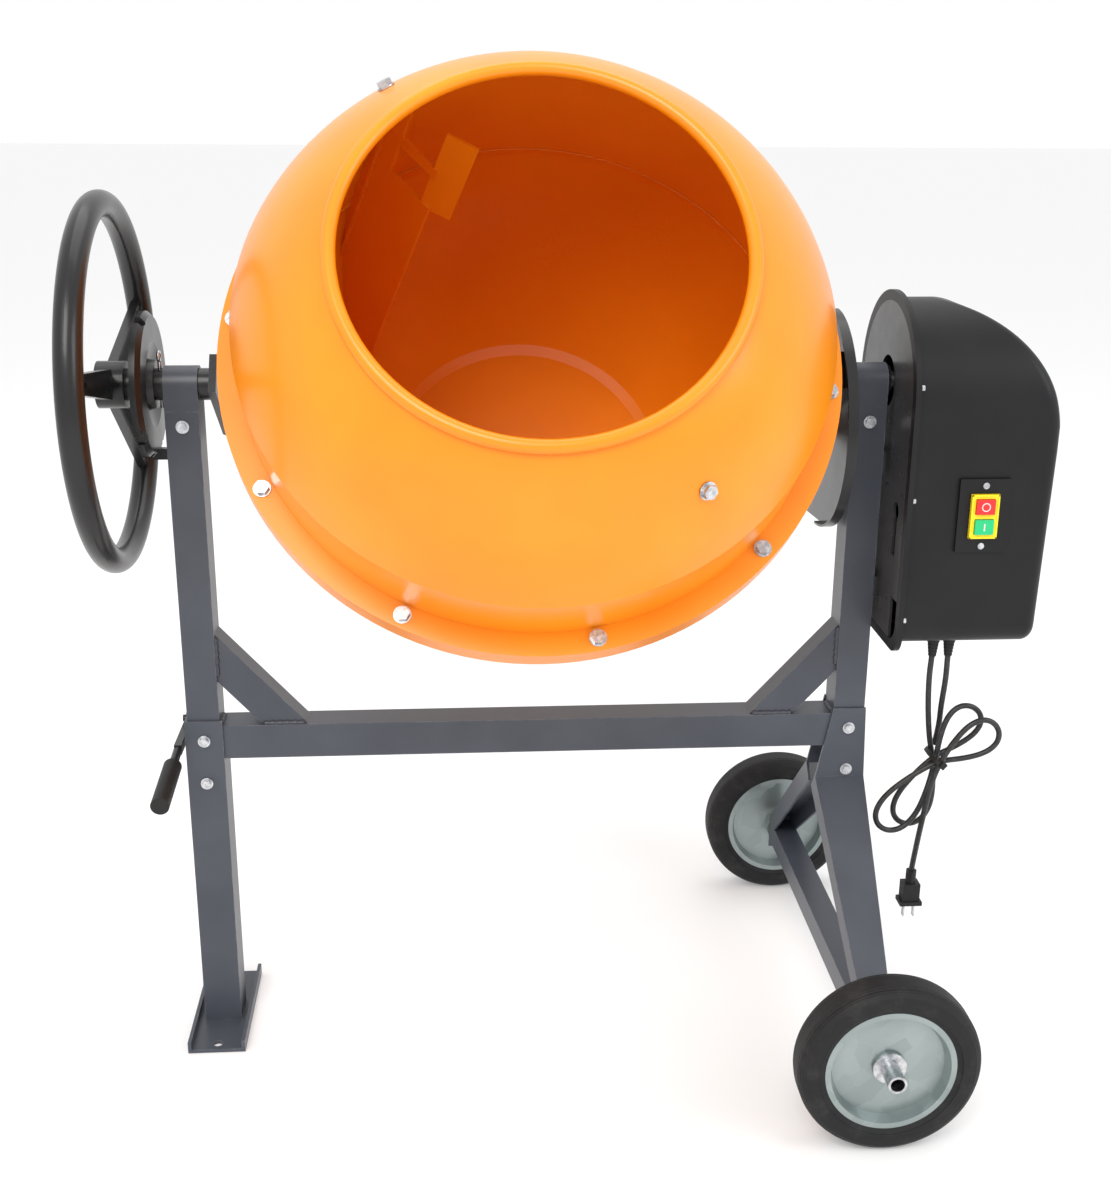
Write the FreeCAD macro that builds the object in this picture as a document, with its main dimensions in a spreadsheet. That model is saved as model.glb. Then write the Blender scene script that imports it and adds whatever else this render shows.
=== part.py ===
import FreeCAD, Part
import math
import os
import Sketcher
from FreeCAD import Placement, Rotation, Vector

# A towable electric concrete mixer.  The drum hangs in a yoke that tilts about an axle between two
# uprights.  X runs along that axle, the mouth faces -Y, and Z = 0 is the ground.  The origin is the
# centre of the foot plate's underside.

doc = FreeCAD.newDocument("concrete_mixer")
sheet = doc.addObject("Spreadsheet::Sheet", "dims")

DRIVING_SIZES = (
    # stand
    ("upright_spacing", 740), ("upright_width", 36), ("upright_depth", 40), ("upright_foot", 290),
    ("tube_wall", 2.5), ("tilt_height", 770), ("crossbar_height", 365), ("crossbar_size", 40),
    ("brace_reach", 98), ("brace_rise", 108), ("brace_width", 38), ("brace_depth", 30),
    ("leg_top", 392), ("sheet_wall", 3), ("foot_width", 66), ("foot_length", 168), ("foot_wall", 4),
    ("foot_lip", 14), ("anchor_hole", 11), ("anchor_spacing", 144),
    # wheels and their legs
    ("knee_height", 305), ("knee_width", 54), ("ankle_width", 30), ("axle_diameter", 20),
    ("axle_reach", 327), ("track", 570), ("wheel_diameter", 196), ("tyre_width", 45),
    ("rim_diameter", "=wheel_diameter / 1.4"), ("hub_diameter", 34), ("running_gap", 0.08),
    # tilting yoke and its controls
    ("trunnion_diameter", 34), ("bearing_wall", 9), ("yoke_inner", 331), ("yoke_plate", 8),
    ("yoke_width", 44), ("handwheel_diameter", 400), ("handwheel_tube", 28), ("handwheel_place", 74),
    ("lock_disc_diameter", 154), ("lock_disc_place", 37), ("lock_rod_diameter", 10),
    ("lock_lift", 8), ("pedal_arm", 185), ("pedal_crank", 30),
    # drum
    ("drum_elevation", 36), ("drum_diameter", 650), ("shell_diameter", 602), ("drum_wall", 3),
    ("mouth_diameter", 404), ("flange_height", 60), ("shoulder_height", 143), ("mouth_height", 280),
    ("bottom_depth", 246), ("bottom_diameter", 340), ("spindle_diameter", 25), ("flange_bolts", 10),
    # gears and belt drive
    ("ring_teeth", 96), ("pinion_teeth", 12), ("gear_pitch_radius", 312), ("tooth_backlash", 2.6),
    ("gear_face", 14), ("skirt_depth", 26), ("pinion_shaft_diameter", 20), ("pulley_diameter", 160),
    ("motor_pulley_diameter", 24), ("belt_drop", 210), ("belt_width", 10),
    # housing
    ("housing_depth", 163), ("housing_radius", 100), ("arch_drop", 10), ("housing_bottom", 495),
    ("housing_wall", 3),
    # small parts
    ("bolt_head", 13), ("washer_diameter", 18), ("small_head", 9), ("small_washer", 14), ("cord_diameter", 6.5),
)

for row, (alias, value) in enumerate(DRIVING_SIZES, start=1):
    sheet.set("A%d" % row, alias)
    sheet.set("B%d" % row, str(value))
    sheet.setAlias("B%d" % row, alias)
doc.recompute()


def size(alias):
    """The value that the sheet holds for one driving size."""
    return float(sheet.get(alias))


sub_parts = []


def sub_part(thing, label):
    """Marks an object of the document as one finished piece with its own name."""
    thing.Label = label
    sub_parts.append(thing)
    return thing


def bind(thing, **expressions):
    """Ties properties to sheet expressions; x, y and z stand for the placement."""
    for name, expression in expressions.items():
        target = ".Placement.Base." + name if name in ("x", "y", "z") else name
        thing.setExpression(target, str(expression))
    return thing


def box(name, length, width, height, x, y, z):
    """A block with its lowest corner at x, y, z."""
    block = doc.addObject("Part::Box", name)
    return bind(block, Length=length, Width=width, Height=height, x=x, y=y, z=z)


AXIS_TURNS = {
    "X": Rotation(Vector(0, 1, 0), 90),
    "Y": Rotation(Vector(1, 0, 0), -90),
    "Z": Rotation(),
}


def rod(name, axis, radius, length, x, y, z):
    """A round bar that starts at x, y, z and runs along +X, +Y or +Z."""
    bar = doc.addObject("Part::Cylinder", name)
    bar.Placement = Placement(Vector(), AXIS_TURNS[axis])
    return bind(bar, Radius=radius, Height=length, x=x, y=y, z=z)


def cut(name, base, *tools):
    """The base with every tool taken away from it."""
    result = base
    for count, tool in enumerate(tools):
        step = doc.addObject("Part::Cut", "%s_cut_%d" % (name, count))
        step.Base = result
        step.Tool = tool
        result = step
    return result


def fuse(name, *pieces):
    """Several shapes as one."""
    joined = doc.addObject("Part::MultiFuse", name + "_fuse")
    joined.Shapes = list(pieces)
    return joined


def revolved(name, outline, turn_axis="V_Axis"):
    """A PartDesign body: a closed outline of (radius, height) expressions turned about its own axis."""
    body = doc.addObject("PartDesign::Body", name)
    plane = [f for f in body.Origin.OriginFeatures if f.Role == "XZ_Plane"][0]
    sketch = body.newObject("Sketcher::SketchObject", name + "_outline")
    sketch.AttachmentSupport = [(plane, "")]
    sketch.MapMode = "FlatFace"
    corners = [(corner_value(r), corner_value(h)) for r, h in outline]
    count = len(corners)
    for i in range(count):
        start = Vector(corners[i][0], corners[i][1], 0)
        end = Vector(corners[(i + 1) % count][0], corners[(i + 1) % count][1], 0)
        sketch.addGeometry(Part.LineSegment(start, end), False)
    for i in range(count):
        sketch.addConstraint(Sketcher.Constraint("Coincident", i, 2, (i + 1) % count, 1))
    for i, (radius, height) in enumerate(outline):
        for kind, text in (("DistanceX", radius), ("DistanceY", height)):
            number = sketch.addConstraint(
                Sketcher.Constraint(kind, -1, 1, i, 1, corner_value(text)))
            sketch.setExpression("Constraints[%d]" % number, str(text))
    turning = body.newObject("PartDesign::Revolution", name + "_turned")
    turning.Profile = sketch
    turning.ReferenceAxis = (sketch, [turn_axis])
    turning.Angle = 360
    body.Tip = turning
    return body


def corner_value(text):
    """The present value of an expression such as "dims.drum_wall + 2"."""
    return float(sheet.evalExpression(str(text)))


def shaped(name, shape, placement=None):
    """A piece whose shape is worked out directly from the sheet's values."""
    feature = doc.addObject("Part::Feature", name)
    feature.Shape = shape
    if placement is not None:
        feature.Placement = placement
    return feature


S = "dims.upright_spacing"
TILT_Z = "dims.tilt_height"


def group(label, *pieces):
    """Identical or paired pieces under one name, each still a solid of its own."""
    together = doc.addObject("Part::Compound", label + "_group")
    together.Links = list(pieces)
    return sub_part(together, label)


# ---- stand: two uprights, a crossbar and two braces ----

def square_tube(name, axis, wide, deep, length, x, y, z):
    """A rectangular steel tube, open at both ends, centred on x, y or y, z and running along its axis."""
    wall = "dims.tube_wall"
    if axis == "Z":
        outer = box(name + "_outer", wide, deep, length, "%s - %s / 2" % (x, wide), "%s - %s / 2" % (y, deep), z)
        inner = box(name + "_inner", "%s - 2 * %s" % (wide, wall), "%s - 2 * %s" % (deep, wall),
                    "%s + 2" % length, "%s - %s / 2 + %s" % (x, wide, wall),
                    "%s - %s / 2 + %s" % (y, deep, wall), "%s - 1" % z)
    else:
        outer = box(name + "_outer", length, wide, deep, x, "%s - %s / 2" % (y, wide), "%s - %s / 2" % (z, deep))
        inner = box(name + "_inner", "%s + 2" % length, "%s - 2 * %s" % (wide, wall),
                    "%s - 2 * %s" % (deep, wall), "%s - 1" % x,
                    "%s - %s / 2 + %s" % (y, wide, wall), "%s - %s / 2 + %s" % (z, deep, wall))
    return cut(name, outer, inner)


uprights = []
bearings = []
BEARING_OUTER = "(dims.trunnion_diameter / 2 + dims.bearing_wall)"
for side, x in (("left", "0"), ("right", S)):
    tube = square_tube(side + "_upright", "Z", "dims.upright_width", "dims.upright_depth",
                       "dims.tilt_height - dims.upright_foot - %s" % BEARING_OUTER, x, "0", "dims.upright_foot")
    uprights.append(tube)
    # the bearing block closes the top of the upright and carries one trunnion
    block = box(side + "_bearing_block", "dims.upright_width", "dims.upright_depth", BEARING_OUTER,
                "%s - dims.upright_width / 2" % x, "-dims.upright_depth / 2",
                "dims.tilt_height - %s" % BEARING_OUTER)
    crown = rod(side + "_bearing_crown", "X", "dims.upright_depth / 2", "dims.upright_width",
                "%s - dims.upright_width / 2" % x, "0", TILT_Z)
    bore = rod(side + "_bearing_bore", "X", "dims.trunnion_diameter / 2 + dims.running_gap",
               "dims.upright_width + 2", "%s - dims.upright_width / 2 - 1" % x, "0", TILT_Z)
    bearings.append(cut(side + "_bearing", fuse(side + "_bearing", block, crown), bore))
group("uprights", *uprights)
group("bearings", *bearings)

crossbar = square_tube("crossbar", "X", "dims.crossbar_size", "dims.crossbar_size",
                       "dims.upright_spacing - dims.upright_width", "dims.upright_width / 2", "0",
                       "dims.crossbar_height")
sub_part(crossbar, "crossbar")


def channel(corners, depth, wall):
    """A folded channel: a flat web in the XZ plane with both long edges turned back along +Y."""
    web = Part.Face(Part.makePolygon(corners + [corners[0]])).extrude(Vector(0, wall, 0))
    low = [corners[0], corners[1]]
    high = [corners[3], corners[2]]
    flanges = []
    for edge, other in ((low, high), (high, low)):
        across = (other[0] - edge[0]).normalize() * wall
        strip = [edge[0], edge[1], edge[1] + across, edge[0] + across]
        flanges.append(Part.Face(Part.makePolygon(strip + [strip[0]])).extrude(Vector(0, depth, 0)))
    return web.fuse(flanges).removeSplitter()


def brace_shape(mirror):
    """A channel that slants from the upright down to the top of the crossbar."""
    post = size("upright_width") / 2
    bar = size("crossbar_height") + size("crossbar_size") / 2
    reach, rise = size("brace_reach"), size("brace_rise")
    slant = math.hypot(reach, rise)
    along_bar = size("brace_width") * slant / rise
    along_post = size("brace_width") * slant / reach
    corners = [Vector(post + reach, 0, bar), Vector(post, 0, bar + rise),
               Vector(post, 0, bar + rise - along_post), Vector(post + reach - along_bar, 0, bar)]
    if mirror:
        corners = [Vector(size("upright_spacing") - c.x, 0, c.z) for c in corners]
    shape = channel(corners, size("brace_depth"), size("sheet_wall"))
    between = Part.makeBox(size("upright_spacing") - 2 * post, 200, 400, Vector(post, -100, bar))
    shape = shape.common(between)
    return shape.translated(Vector(0, -size("brace_depth") / 2, 0))


group("braces", shaped("left_brace", brace_shape(False)), shaped("right_brace", brace_shape(True)))


# ---- standing leg and foot under the left upright ----

LEG_INNER = "(dims.upright_width / 2 + 0.3)"
leg_outer = box("leg_outer", "2 * %s + 2 * dims.sheet_wall" % LEG_INNER,
                "dims.upright_depth + dims.sheet_wall", "dims.leg_top - dims.foot_wall",
                "-%s - dims.sheet_wall" % LEG_INNER, "-dims.upright_depth / 2 - dims.sheet_wall", "dims.foot_wall")
leg_hollow = box("leg_hollow", "2 * " + LEG_INNER, "dims.upright_depth + 1", "dims.leg_top + 1",
                 "-" + LEG_INNER, "-dims.upright_depth / 2", "dims.foot_wall - 0.5")
# the leg's inner side is notched where the crossbar meets the upright
leg_notch = box("leg_notch", "20", "dims.upright_depth + 1", "60", LEG_INNER,
                "-dims.upright_depth / 2", "dims.crossbar_height - dims.crossbar_size / 2")
sub_part(cut("standing_leg", leg_outer, leg_hollow, leg_notch), "standing_leg")

foot_outer = box("foot_outer", "dims.foot_width", "dims.foot_length", "dims.foot_lip",
                 "-dims.foot_width / 2", "-dims.foot_length / 2", "0")
foot_hollow = box("foot_hollow", "dims.foot_width - 2 * dims.foot_wall", "dims.foot_length + 2",
                  "dims.foot_lip", "-dims.foot_width / 2 + dims.foot_wall", "-dims.foot_length / 2 - 1",
                  "dims.foot_wall")
holes = [rod("anchor_%s" % end, "Z", "dims.anchor_hole / 2", "dims.foot_lip + 2", "0",
             "%s * dims.anchor_spacing / 2" % sign, "-1") for end, sign in (("front", -1), ("back", 1))]
sub_part(cut("foot_plate", foot_outer, foot_hollow, *holes), "foot_plate")


# ---- wheel legs: flared knee plates that fold into tapered channels, front and back ----

def wheel_leg(direction):
    """A knee plate on the face of the right upright, folded outwards into a tapered leg."""
    wall = size("sheet_wall")
    centre = size("upright_spacing")
    half = size("upright_width") / 2 + 1
    face = size("upright_depth") / 2
    knee, ankle = size("knee_width"), size("ankle_width")
    axle_z = size("wheel_diameter") / 2
    top, fold, foot = size("leg_top"), size("knee_height"), axle_z + size("axle_diameter") / 2 + 10
    outer = centre + half + 3
    foot_reach = size("track") / 2 - size("tyre_width") / 2 - 12
    inner_foot = centre - 8 - ankle / 2
    plate = [Vector(centre - half, face, top), Vector(outer - 3, face, top), Vector(outer, face, fold),
             Vector(outer - knee - 4, face, fold)]
    shape = Part.Face(Part.makePolygon(plate + [plate[0]])).extrude(Vector(0, wall, 0))
    slope = [plate[3], plate[2], Vector(inner_foot + ankle, foot_reach, foot), Vector(inner_foot, foot_reach, foot)]
    normal = (slope[1] - slope[0]).cross(slope[2] - slope[1]).normalize()
    if normal.y < 0:
        normal = normal * -1
    shape = shape.fuse(Part.Face(Part.makePolygon(slope + [slope[0]])).extrude(normal * wall))
    # turned-in edges stiffen the leg from the fold down to the axle
    for edge, across in (((slope[0], slope[3]), wall), ((slope[1], slope[2]), -wall)):
        strip = [edge[0], edge[1], edge[1] + Vector(across, 0, 0), edge[0] + Vector(across, 0, 0)]
        flange = Part.Face(Part.makePolygon(strip + [strip[0]])).extrude(normal * -22)
        shape = shape.fuse(flange)
    # what the flanges would take from the upright, the crossbar, the beam and the axle is cut away again
    keep_clear = Part.makeBox(2 * half, 2 * face, 200, Vector(centre - half, -face, fold - 60))
    bar = Part.makeBox(centre - half, 2 * face, size("crossbar_size") + 2,
                       Vector(0, -face, size("crossbar_height") - size("crossbar_size") / 2 - 1))
    beam = Part.makeBox(ankle, foot_reach - 0.3, 60, Vector(inner_foot, 0, axle_z + size("axle_diameter") / 2 - 54))
    shape = shape.cut([keep_clear, bar, beam])
    # a flat foot stands upright beside the wheel and holds the axle
    pad = Part.makeBox(ankle, wall, foot - axle_z + 28, Vector(inner_foot, foot_reach, axle_z - 24))
    hole = Part.makeCylinder(size("axle_diameter") / 2 + size("running_gap"), 300,
                             Vector(inner_foot + ankle / 2, 100, axle_z), Vector(0, 1, 0))
    shape = shape.fuse(pad).cut(hole)
    if direction < 0:
        shape = shape.mirror(Vector(0, 0, 0), Vector(0, 1, 0))
    return shape.removeSplitter()


group("wheel_legs", shaped("front_wheel_leg", wheel_leg(-1)), shaped("rear_wheel_leg", wheel_leg(1)))

AXLE_X = "(dims.upright_spacing - 8)"
AXLE_Z = "(dims.wheel_diameter / 2)"
BEAM_REACH = "(dims.track / 2 - dims.tyre_width / 2 - 12.3)"
beam_outer = box("beam_outer", "dims.ankle_width", "2 * " + BEAM_REACH, "dims.axle_diameter + 8",
                 AXLE_X + " - dims.ankle_width / 2", "-" + BEAM_REACH, AXLE_Z + " - dims.axle_diameter / 2 - 2")
beam_hollow = box("beam_hollow", "dims.ankle_width - 2 * dims.sheet_wall", "2 * %s + 2" % BEAM_REACH,
                  "dims.axle_diameter + 8", AXLE_X + " - dims.ankle_width / 2 + dims.sheet_wall",
                  "-%s - 1" % BEAM_REACH, AXLE_Z + " - dims.axle_diameter / 2 - 2 - dims.sheet_wall")
sub_part(cut("axle_beam", beam_outer, beam_hollow), "axle_beam")

axle_outer = rod("axle_outer", "Y", "dims.axle_diameter / 2", "2 * dims.axle_reach", AXLE_X,
                 "-dims.axle_reach", AXLE_Z)
axle_bore = rod("axle_bore", "Y", "dims.axle_diameter / 2 - 2.5", "2 * dims.axle_reach + 2", AXLE_X,
                "-dims.axle_reach - 1", AXLE_Z)
sub_part(cut("axle", axle_outer, axle_bore), "axle")


# ---- two wheels with solid tyres ----

def place_on_axle(body, y):
    """Turns a body that was drawn about Z so that it runs about the axle."""
    body.Placement = Placement(Vector(), Rotation(Vector(1, 0, 0), -90))
    return bind(body, x=AXLE_X, y=y, z=AXLE_Z)


tyre_outline = (
    ("dims.rim_diameter / 2", "-dims.tyre_width / 2 + 4"),
    ("dims.rim_diameter / 2 + 6", "-dims.tyre_width / 2"),
    ("dims.wheel_diameter / 2 - 14", "-dims.tyre_width / 2"),
    ("dims.wheel_diameter / 2 - 8", "-dims.tyre_width / 2 + 1.2"),
    ("dims.wheel_diameter / 2 - 3.4", "-dims.tyre_width / 2 + 4.6"),
    ("dims.wheel_diameter / 2 - 0.8", "-dims.tyre_width / 2 + 9"),
    ("dims.wheel_diameter / 2", "-dims.tyre_width / 2 + 14"),
    ("dims.wheel_diameter / 2", "dims.tyre_width / 2 - 14"),
    ("dims.wheel_diameter / 2 - 0.8", "dims.tyre_width / 2 - 9"),
    ("dims.wheel_diameter / 2 - 3.4", "dims.tyre_width / 2 - 4.6"),
    ("dims.wheel_diameter / 2 - 8", "dims.tyre_width / 2 - 1.2"),
    ("dims.wheel_diameter / 2 - 14", "dims.tyre_width / 2"),
    ("dims.rim_diameter / 2 + 6", "dims.tyre_width / 2"),
    ("dims.rim_diameter / 2", "dims.tyre_width / 2 - 4"),
)
BORE = "dims.axle_diameter / 2 + dims.running_gap"
HUB_INNER = "dims.tyre_width / 2 + 6"
HUB_OUTER = "dims.tyre_width / 2 - 12"


def disc_outline(low_hub, high_hub):
    """Half of a pressed wheel disc; its hub tube ends at these distances below and above its middle."""
    return (
        (BORE, "-(%s)" % low_hub),
        ("dims.hub_diameter / 2", "-(%s)" % low_hub),
        ("dims.hub_diameter / 2", "-8"),
        ("dims.rim_diameter / 2 - 10", "-6"),
        ("dims.rim_diameter / 2 - 6", "-dims.tyre_width / 2 + 4"),
        ("dims.rim_diameter / 2", "-dims.tyre_width / 2 + 4"),
        ("dims.rim_diameter / 2", "dims.tyre_width / 2 - 4"),
        ("dims.rim_diameter / 2 - 6", "dims.tyre_width / 2 - 4"),
        ("dims.rim_diameter / 2 - 10", "6"),
        ("dims.hub_diameter / 2", "8"),
        ("dims.hub_diameter / 2", high_hub),
        (BORE, high_hub),
    )


axle_washers = []
for end, sign in (("front", -1), ("rear", 1)):
    y = "%d * dims.track / 2" % sign
    sub_part(place_on_axle(revolved(end + "_tyre", tyre_outline), y), end + "_tyre")
    hubs = (HUB_OUTER, HUB_INNER) if sign < 0 else (HUB_INNER, HUB_OUTER)
    sub_part(place_on_axle(revolved(end + "_wheel_disc", disc_outline(*hubs)), y), end + "_wheel_disc")
    # a pressed washer stops the wheel near the axle's end
    hub_end = "dims.track / 2 + %s + 0.3" % HUB_OUTER
    start = "-(%s) - 2.5" % hub_end if sign < 0 else hub_end
    washer = cut(end + "_axle_washer",
                 rod(end + "_washer_disc", "Y", "dims.axle_diameter / 2 + 8", "2.5", AXLE_X, start, AXLE_Z),
                 rod(end + "_washer_hole", "Y", "dims.axle_diameter / 2", "4.5", AXLE_X, start + " - 1", AXLE_Z))
    axle_washers.append(washer)
group("axle_washers", *axle_washers)


# ---- bolts, nuts and washers ----

def hexagon(across_flats, height):
    """A hexagonal prism on the XY plane."""
    radius = across_flats / math.sqrt(3)
    corners = [Vector(radius * math.cos(math.radians(60 * i)), radius * math.sin(math.radians(60 * i)), 0)
               for i in range(7)]
    return Part.Face(Part.makePolygon(corners)).extrude(Vector(0, 0, height))


def fastener(place, outward, washer_size, head_size):
    """A washer with a hexagon head on it, seated at a point and facing outward."""
    washer = Part.makeCylinder(size(washer_size) / 2, 1.6)
    head = hexagon(size(head_size), 0.42 * size(head_size)).translated(Vector(0, 0, 1.6))
    turn = Rotation(Vector(0, 0, 1), outward)
    return [piece.transformed(Placement(place, turn).toMatrix()) for piece in (washer, head)]


def fasteners(label, seats, washer_size, head_size, placement=None):
    """One piece of hardware repeated at several seats, as separate solids under one name."""
    solids = []
    for place, outward in seats:
        solids.extend(fastener(place, outward, washer_size, head_size))
    return sub_part(shaped(label, Part.makeCompound(solids), placement), label)


FRONT = Vector(0, -1, 0)
BACK = Vector(0, 1, 0)
right_x = size("upright_spacing")
leg_face = size("upright_depth") / 2 + size("sheet_wall")
leg_bolt_heights = (size("leg_top") - 24, size("leg_top") - 76)
leg_seats = []
for height in leg_bolt_heights:
    leg_seats.append((Vector(0, -leg_face, height), FRONT))
    leg_seats.append((Vector(right_x, -leg_face, height), FRONT))
    leg_seats.append((Vector(right_x, leg_face, height), BACK))
bearing_seats = []
for x in (0, right_x):
    place = size("tilt_height") - size("trunnion_diameter") / 2 - size("bearing_wall") - 16
    bearing_seats.append((Vector(x, -size("upright_depth") / 2, place), FRONT))
fasteners("stand_bolts", leg_seats + bearing_seats, "small_washer", "small_head")


# ---- tilting yoke: trunnions, two arms, two sloping struts and a base plate under the drum ----

TILT_CENTRE = Vector(size("upright_spacing") / 2, 0, size("tilt_height"))
# the drum's own frame: origin on the tilt axis, +Z out of the mouth
DRUM_FRAME = Placement(TILT_CENTRE, Rotation(Vector(1, 0, 0), 90 - size("drum_elevation")))


def plate_along(start, end, width, inward):
    """A flat bar between two points of the XZ plane, its thickness on the inward side."""
    a, b = Vector(start[0], 0, start[1]), Vector(end[0], 0, end[1])
    sunk_a, sunk_b = Vector(inward[0][0], 0, inward[0][1]), Vector(inward[1][0], 0, inward[1][1])
    outline = Part.makePolygon([a, b, sunk_b, sunk_a, a])
    return Part.Face(outline).extrude(Vector(0, width, 0)).translated(Vector(0, -width / 2, 0))


yoke_in = size("yoke_inner")
yoke_out = yoke_in + size("yoke_plate")
arms = []
struts = []
yoke_bottom = -size("bottom_depth") - 36
elbow = -78
base_reach = 165
for side, sign in (("left", -1), ("right", 1)):
    arm = plate_along((sign * yoke_in, 26), (sign * yoke_in, elbow), size("yoke_width"),
                      ((sign * yoke_out, 26), (sign * yoke_out, elbow - 3)))
    shaft_room = size("pinion_shaft_diameter") / 2 + size("running_gap") if sign > 0 else 0
    if shaft_room:
        arm = arm.cut(Part.makeCylinder(shaft_room, 40, Vector(yoke_in - 10, 0, 0), Vector(1, 0, 0)))
    arms.append(arm)
    strut = plate_along((sign * yoke_in, elbow), (sign * base_reach, yoke_bottom), size("yoke_width"),
                        ((sign * yoke_out, elbow - 3), (sign * (base_reach + 3), yoke_bottom - size("yoke_plate"))))
    struts.append(strut)
sub_part(shaped("yoke_arms", Part.makeCompound(arms), DRUM_FRAME), "yoke_arms")
sub_part(shaped("yoke_struts", Part.makeCompound(struts), DRUM_FRAME), "yoke_struts")
base = plate_along((-base_reach, yoke_bottom), (base_reach, yoke_bottom), size("yoke_width") + 16,
                   ((-base_reach - 3, yoke_bottom - size("yoke_plate")),
                    (base_reach + 3, yoke_bottom - size("yoke_plate"))))
base = base.cut(Part.makeCylinder(size("spindle_diameter") / 2, 60, Vector(0, 0, yoke_bottom - 30)))
sub_part(shaped("yoke_base", base, DRUM_FRAME), "yoke_base")

# the spindle stands on the base plate and carries the drum; its nut and washer show inside the drum
spindle_top = -size("bottom_depth") + 16
spindle = Part.makeCylinder(size("spindle_diameter") / 2, spindle_top - yoke_bottom + 20,
                            Vector(0, 0, yoke_bottom - 20))
sub_part(shaped("drum_spindle", spindle, DRUM_FRAME), "drum_spindle")
nut_z = yoke_bottom - size("yoke_plate") - 12
under_nut = hexagon(38, 12).translated(Vector(0, 0, nut_z))
under_nut = under_nut.cut(Part.makeCylinder(size("spindle_diameter") / 2, 20, Vector(0, 0, nut_z - 2)))

YOKE_OUT = "(dims.yoke_inner + dims.yoke_plate)"
trunnion_start = "(-dims.handwheel_place - 14)"
left_trunnion = rod("left_trunnion", "X", "dims.trunnion_diameter / 2",
                    "dims.upright_spacing / 2 - %s - %s" % (YOKE_OUT, trunnion_start), trunnion_start, "0", TILT_Z)
right_start = "dims.upright_spacing / 2 + %s" % YOKE_OUT
trunnion_outer = rod("right_trunnion_outer", "X", "dims.trunnion_diameter / 2",
                     "dims.upright_spacing / 2 + dims.upright_width / 2 + 4 - %s" % YOKE_OUT, right_start, "0", TILT_Z)
trunnion_bore = rod("right_trunnion_bore", "X", "dims.pinion_shaft_diameter / 2 + dims.running_gap",
                    "dims.upright_spacing",
                    right_start + " - 30", "0", TILT_Z)
group("trunnions", left_trunnion, cut("right_trunnion", trunnion_outer, trunnion_bore))


# ---- handwheel, lock disc and split pin on the left trunnion ----

wheel_x = -size("handwheel_place")
rim_radius = size("handwheel_diameter") / 2 - size("handwheel_tube") / 2
rim = Part.makeTorus(rim_radius, size("handwheel_tube") / 2, Vector(), Vector(1, 0, 0))
WHEEL_PLACE = Placement(Vector(wheel_x, 0, size("tilt_height")), Rotation())
sub_part(shaped("handwheel_rim", rim, WHEEL_PLACE), "handwheel_rim")


def spoke(angle):
    """A flat spoke that narrows from the hub to the rim, in a plane square to X."""
    hub = size("trunnion_diameter") / 2
    reach = rim_radius - size("handwheel_tube") / 2 + 2
    corners = [Vector(-6, hub, -16), Vector(-6, reach, -9), Vector(-6, reach, 9), Vector(-6, hub, 16)]
    flat = Part.Face(Part.makePolygon(corners + [corners[0]])).extrude(Vector(10, 0, 0))
    rib = Part.makeBox(8, reach - hub - 10, 4, Vector(4, hub, -2))
    shape = flat.fuse(rib)
    shape.rotate(Vector(), Vector(1, 0, 0), angle)
    return shape


hub = Part.makeCylinder(size("trunnion_diameter") / 2 + 8, 30, Vector(-14, 0, 0), Vector(1, 0, 0))
spider = hub.fuse([spoke(angle) for angle in (170, 20, -40)])
seat = 0.05
rim_room = Part.makeTorus(rim_radius, size("handwheel_tube") / 2 + seat, Vector(), Vector(1, 0, 0))
hub_bore = Part.makeCylinder(size("trunnion_diameter") / 2 + seat, 60, Vector(-30, 0, 0), Vector(1, 0, 0))
spider = spider.cut([hub_bore, rim_room])
sub_part(shaped("handwheel_spokes", spider, WHEEL_PLACE), "handwheel_spokes")

# the dished disc has a rolled edge and notches along its lower half that the lock rod drops into
disc_r = size("lock_disc_diameter") / 2
bore_r = size("trunnion_diameter") / 2 + seat
rod_r = size("lock_rod_diameter") / 2
rod_x = -size("upright_width") / 2 + rod_r + 5
rod_y = size("upright_depth") / 2 + rod_r + 3
rest_gap = 1.5
rim_height = math.sqrt(disc_r ** 2 - (rod_y - rod_r) ** 2)
profile = [(bore_r, 10), (bore_r, -2), (bore_r + 10, -2), (bore_r + 30, 4), (disc_r - 9, 4), (disc_r - 7, -4),
           (disc_r, -4), (disc_r, 2), (disc_r - 5, 7), (bore_r + 28, 7), (bore_r + 10, 2), (bore_r + 8, 10)]
points = [Vector(x, 0, r) for r, x in profile]
lock_disc = Part.Face(Part.makePolygon(points + [points[0]])).revolve(Vector(), Vector(1, 0, 0), 360)
notch_half = rod_r + 0.8
notch_top = -rim_height - rest_gap + size("lock_lift") + 1
for angle in (-72, -36, 0, 36, 180):
    notch = Part.makeBox(30, 2 * notch_half, 40, Vector(-15, rod_y - notch_half, notch_top - 40))
    notch.rotate(Vector(), Vector(1, 0, 0), angle)
    lock_disc = lock_disc.cut(notch)
DISC_PLACE = Placement(Vector(-size("lock_disc_place"), 0, size("tilt_height")), Rotation())
sub_part(shaped("lock_disc", lock_disc, DISC_PLACE), "lock_disc")
pin_x = -size("lock_disc_place") + 14
pin = Part.makeCylinder(2, size("trunnion_diameter") + 16, Vector(pin_x, 0, -size("trunnion_diameter") / 2 - 8))
pin_eye = Part.makeTorus(4.5, 1.8, Vector(pin_x, 0, size("trunnion_diameter") / 2 + 13), Vector(1, 0, 0))
split_pin = pin.fuse(pin_eye).cut(Part.makeCylinder(size("trunnion_diameter") / 2, 60, Vector(-60, 0, 0),
                                                    Vector(1, 0, 0)))
sub_part(shaped("split_pin", split_pin, Placement(Vector(0, 0, size("tilt_height")), Rotation())), "split_pin")


# ---- tilt lock: a pedal lifts a rod that runs up the back of the left upright to the disc's notches ----

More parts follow.
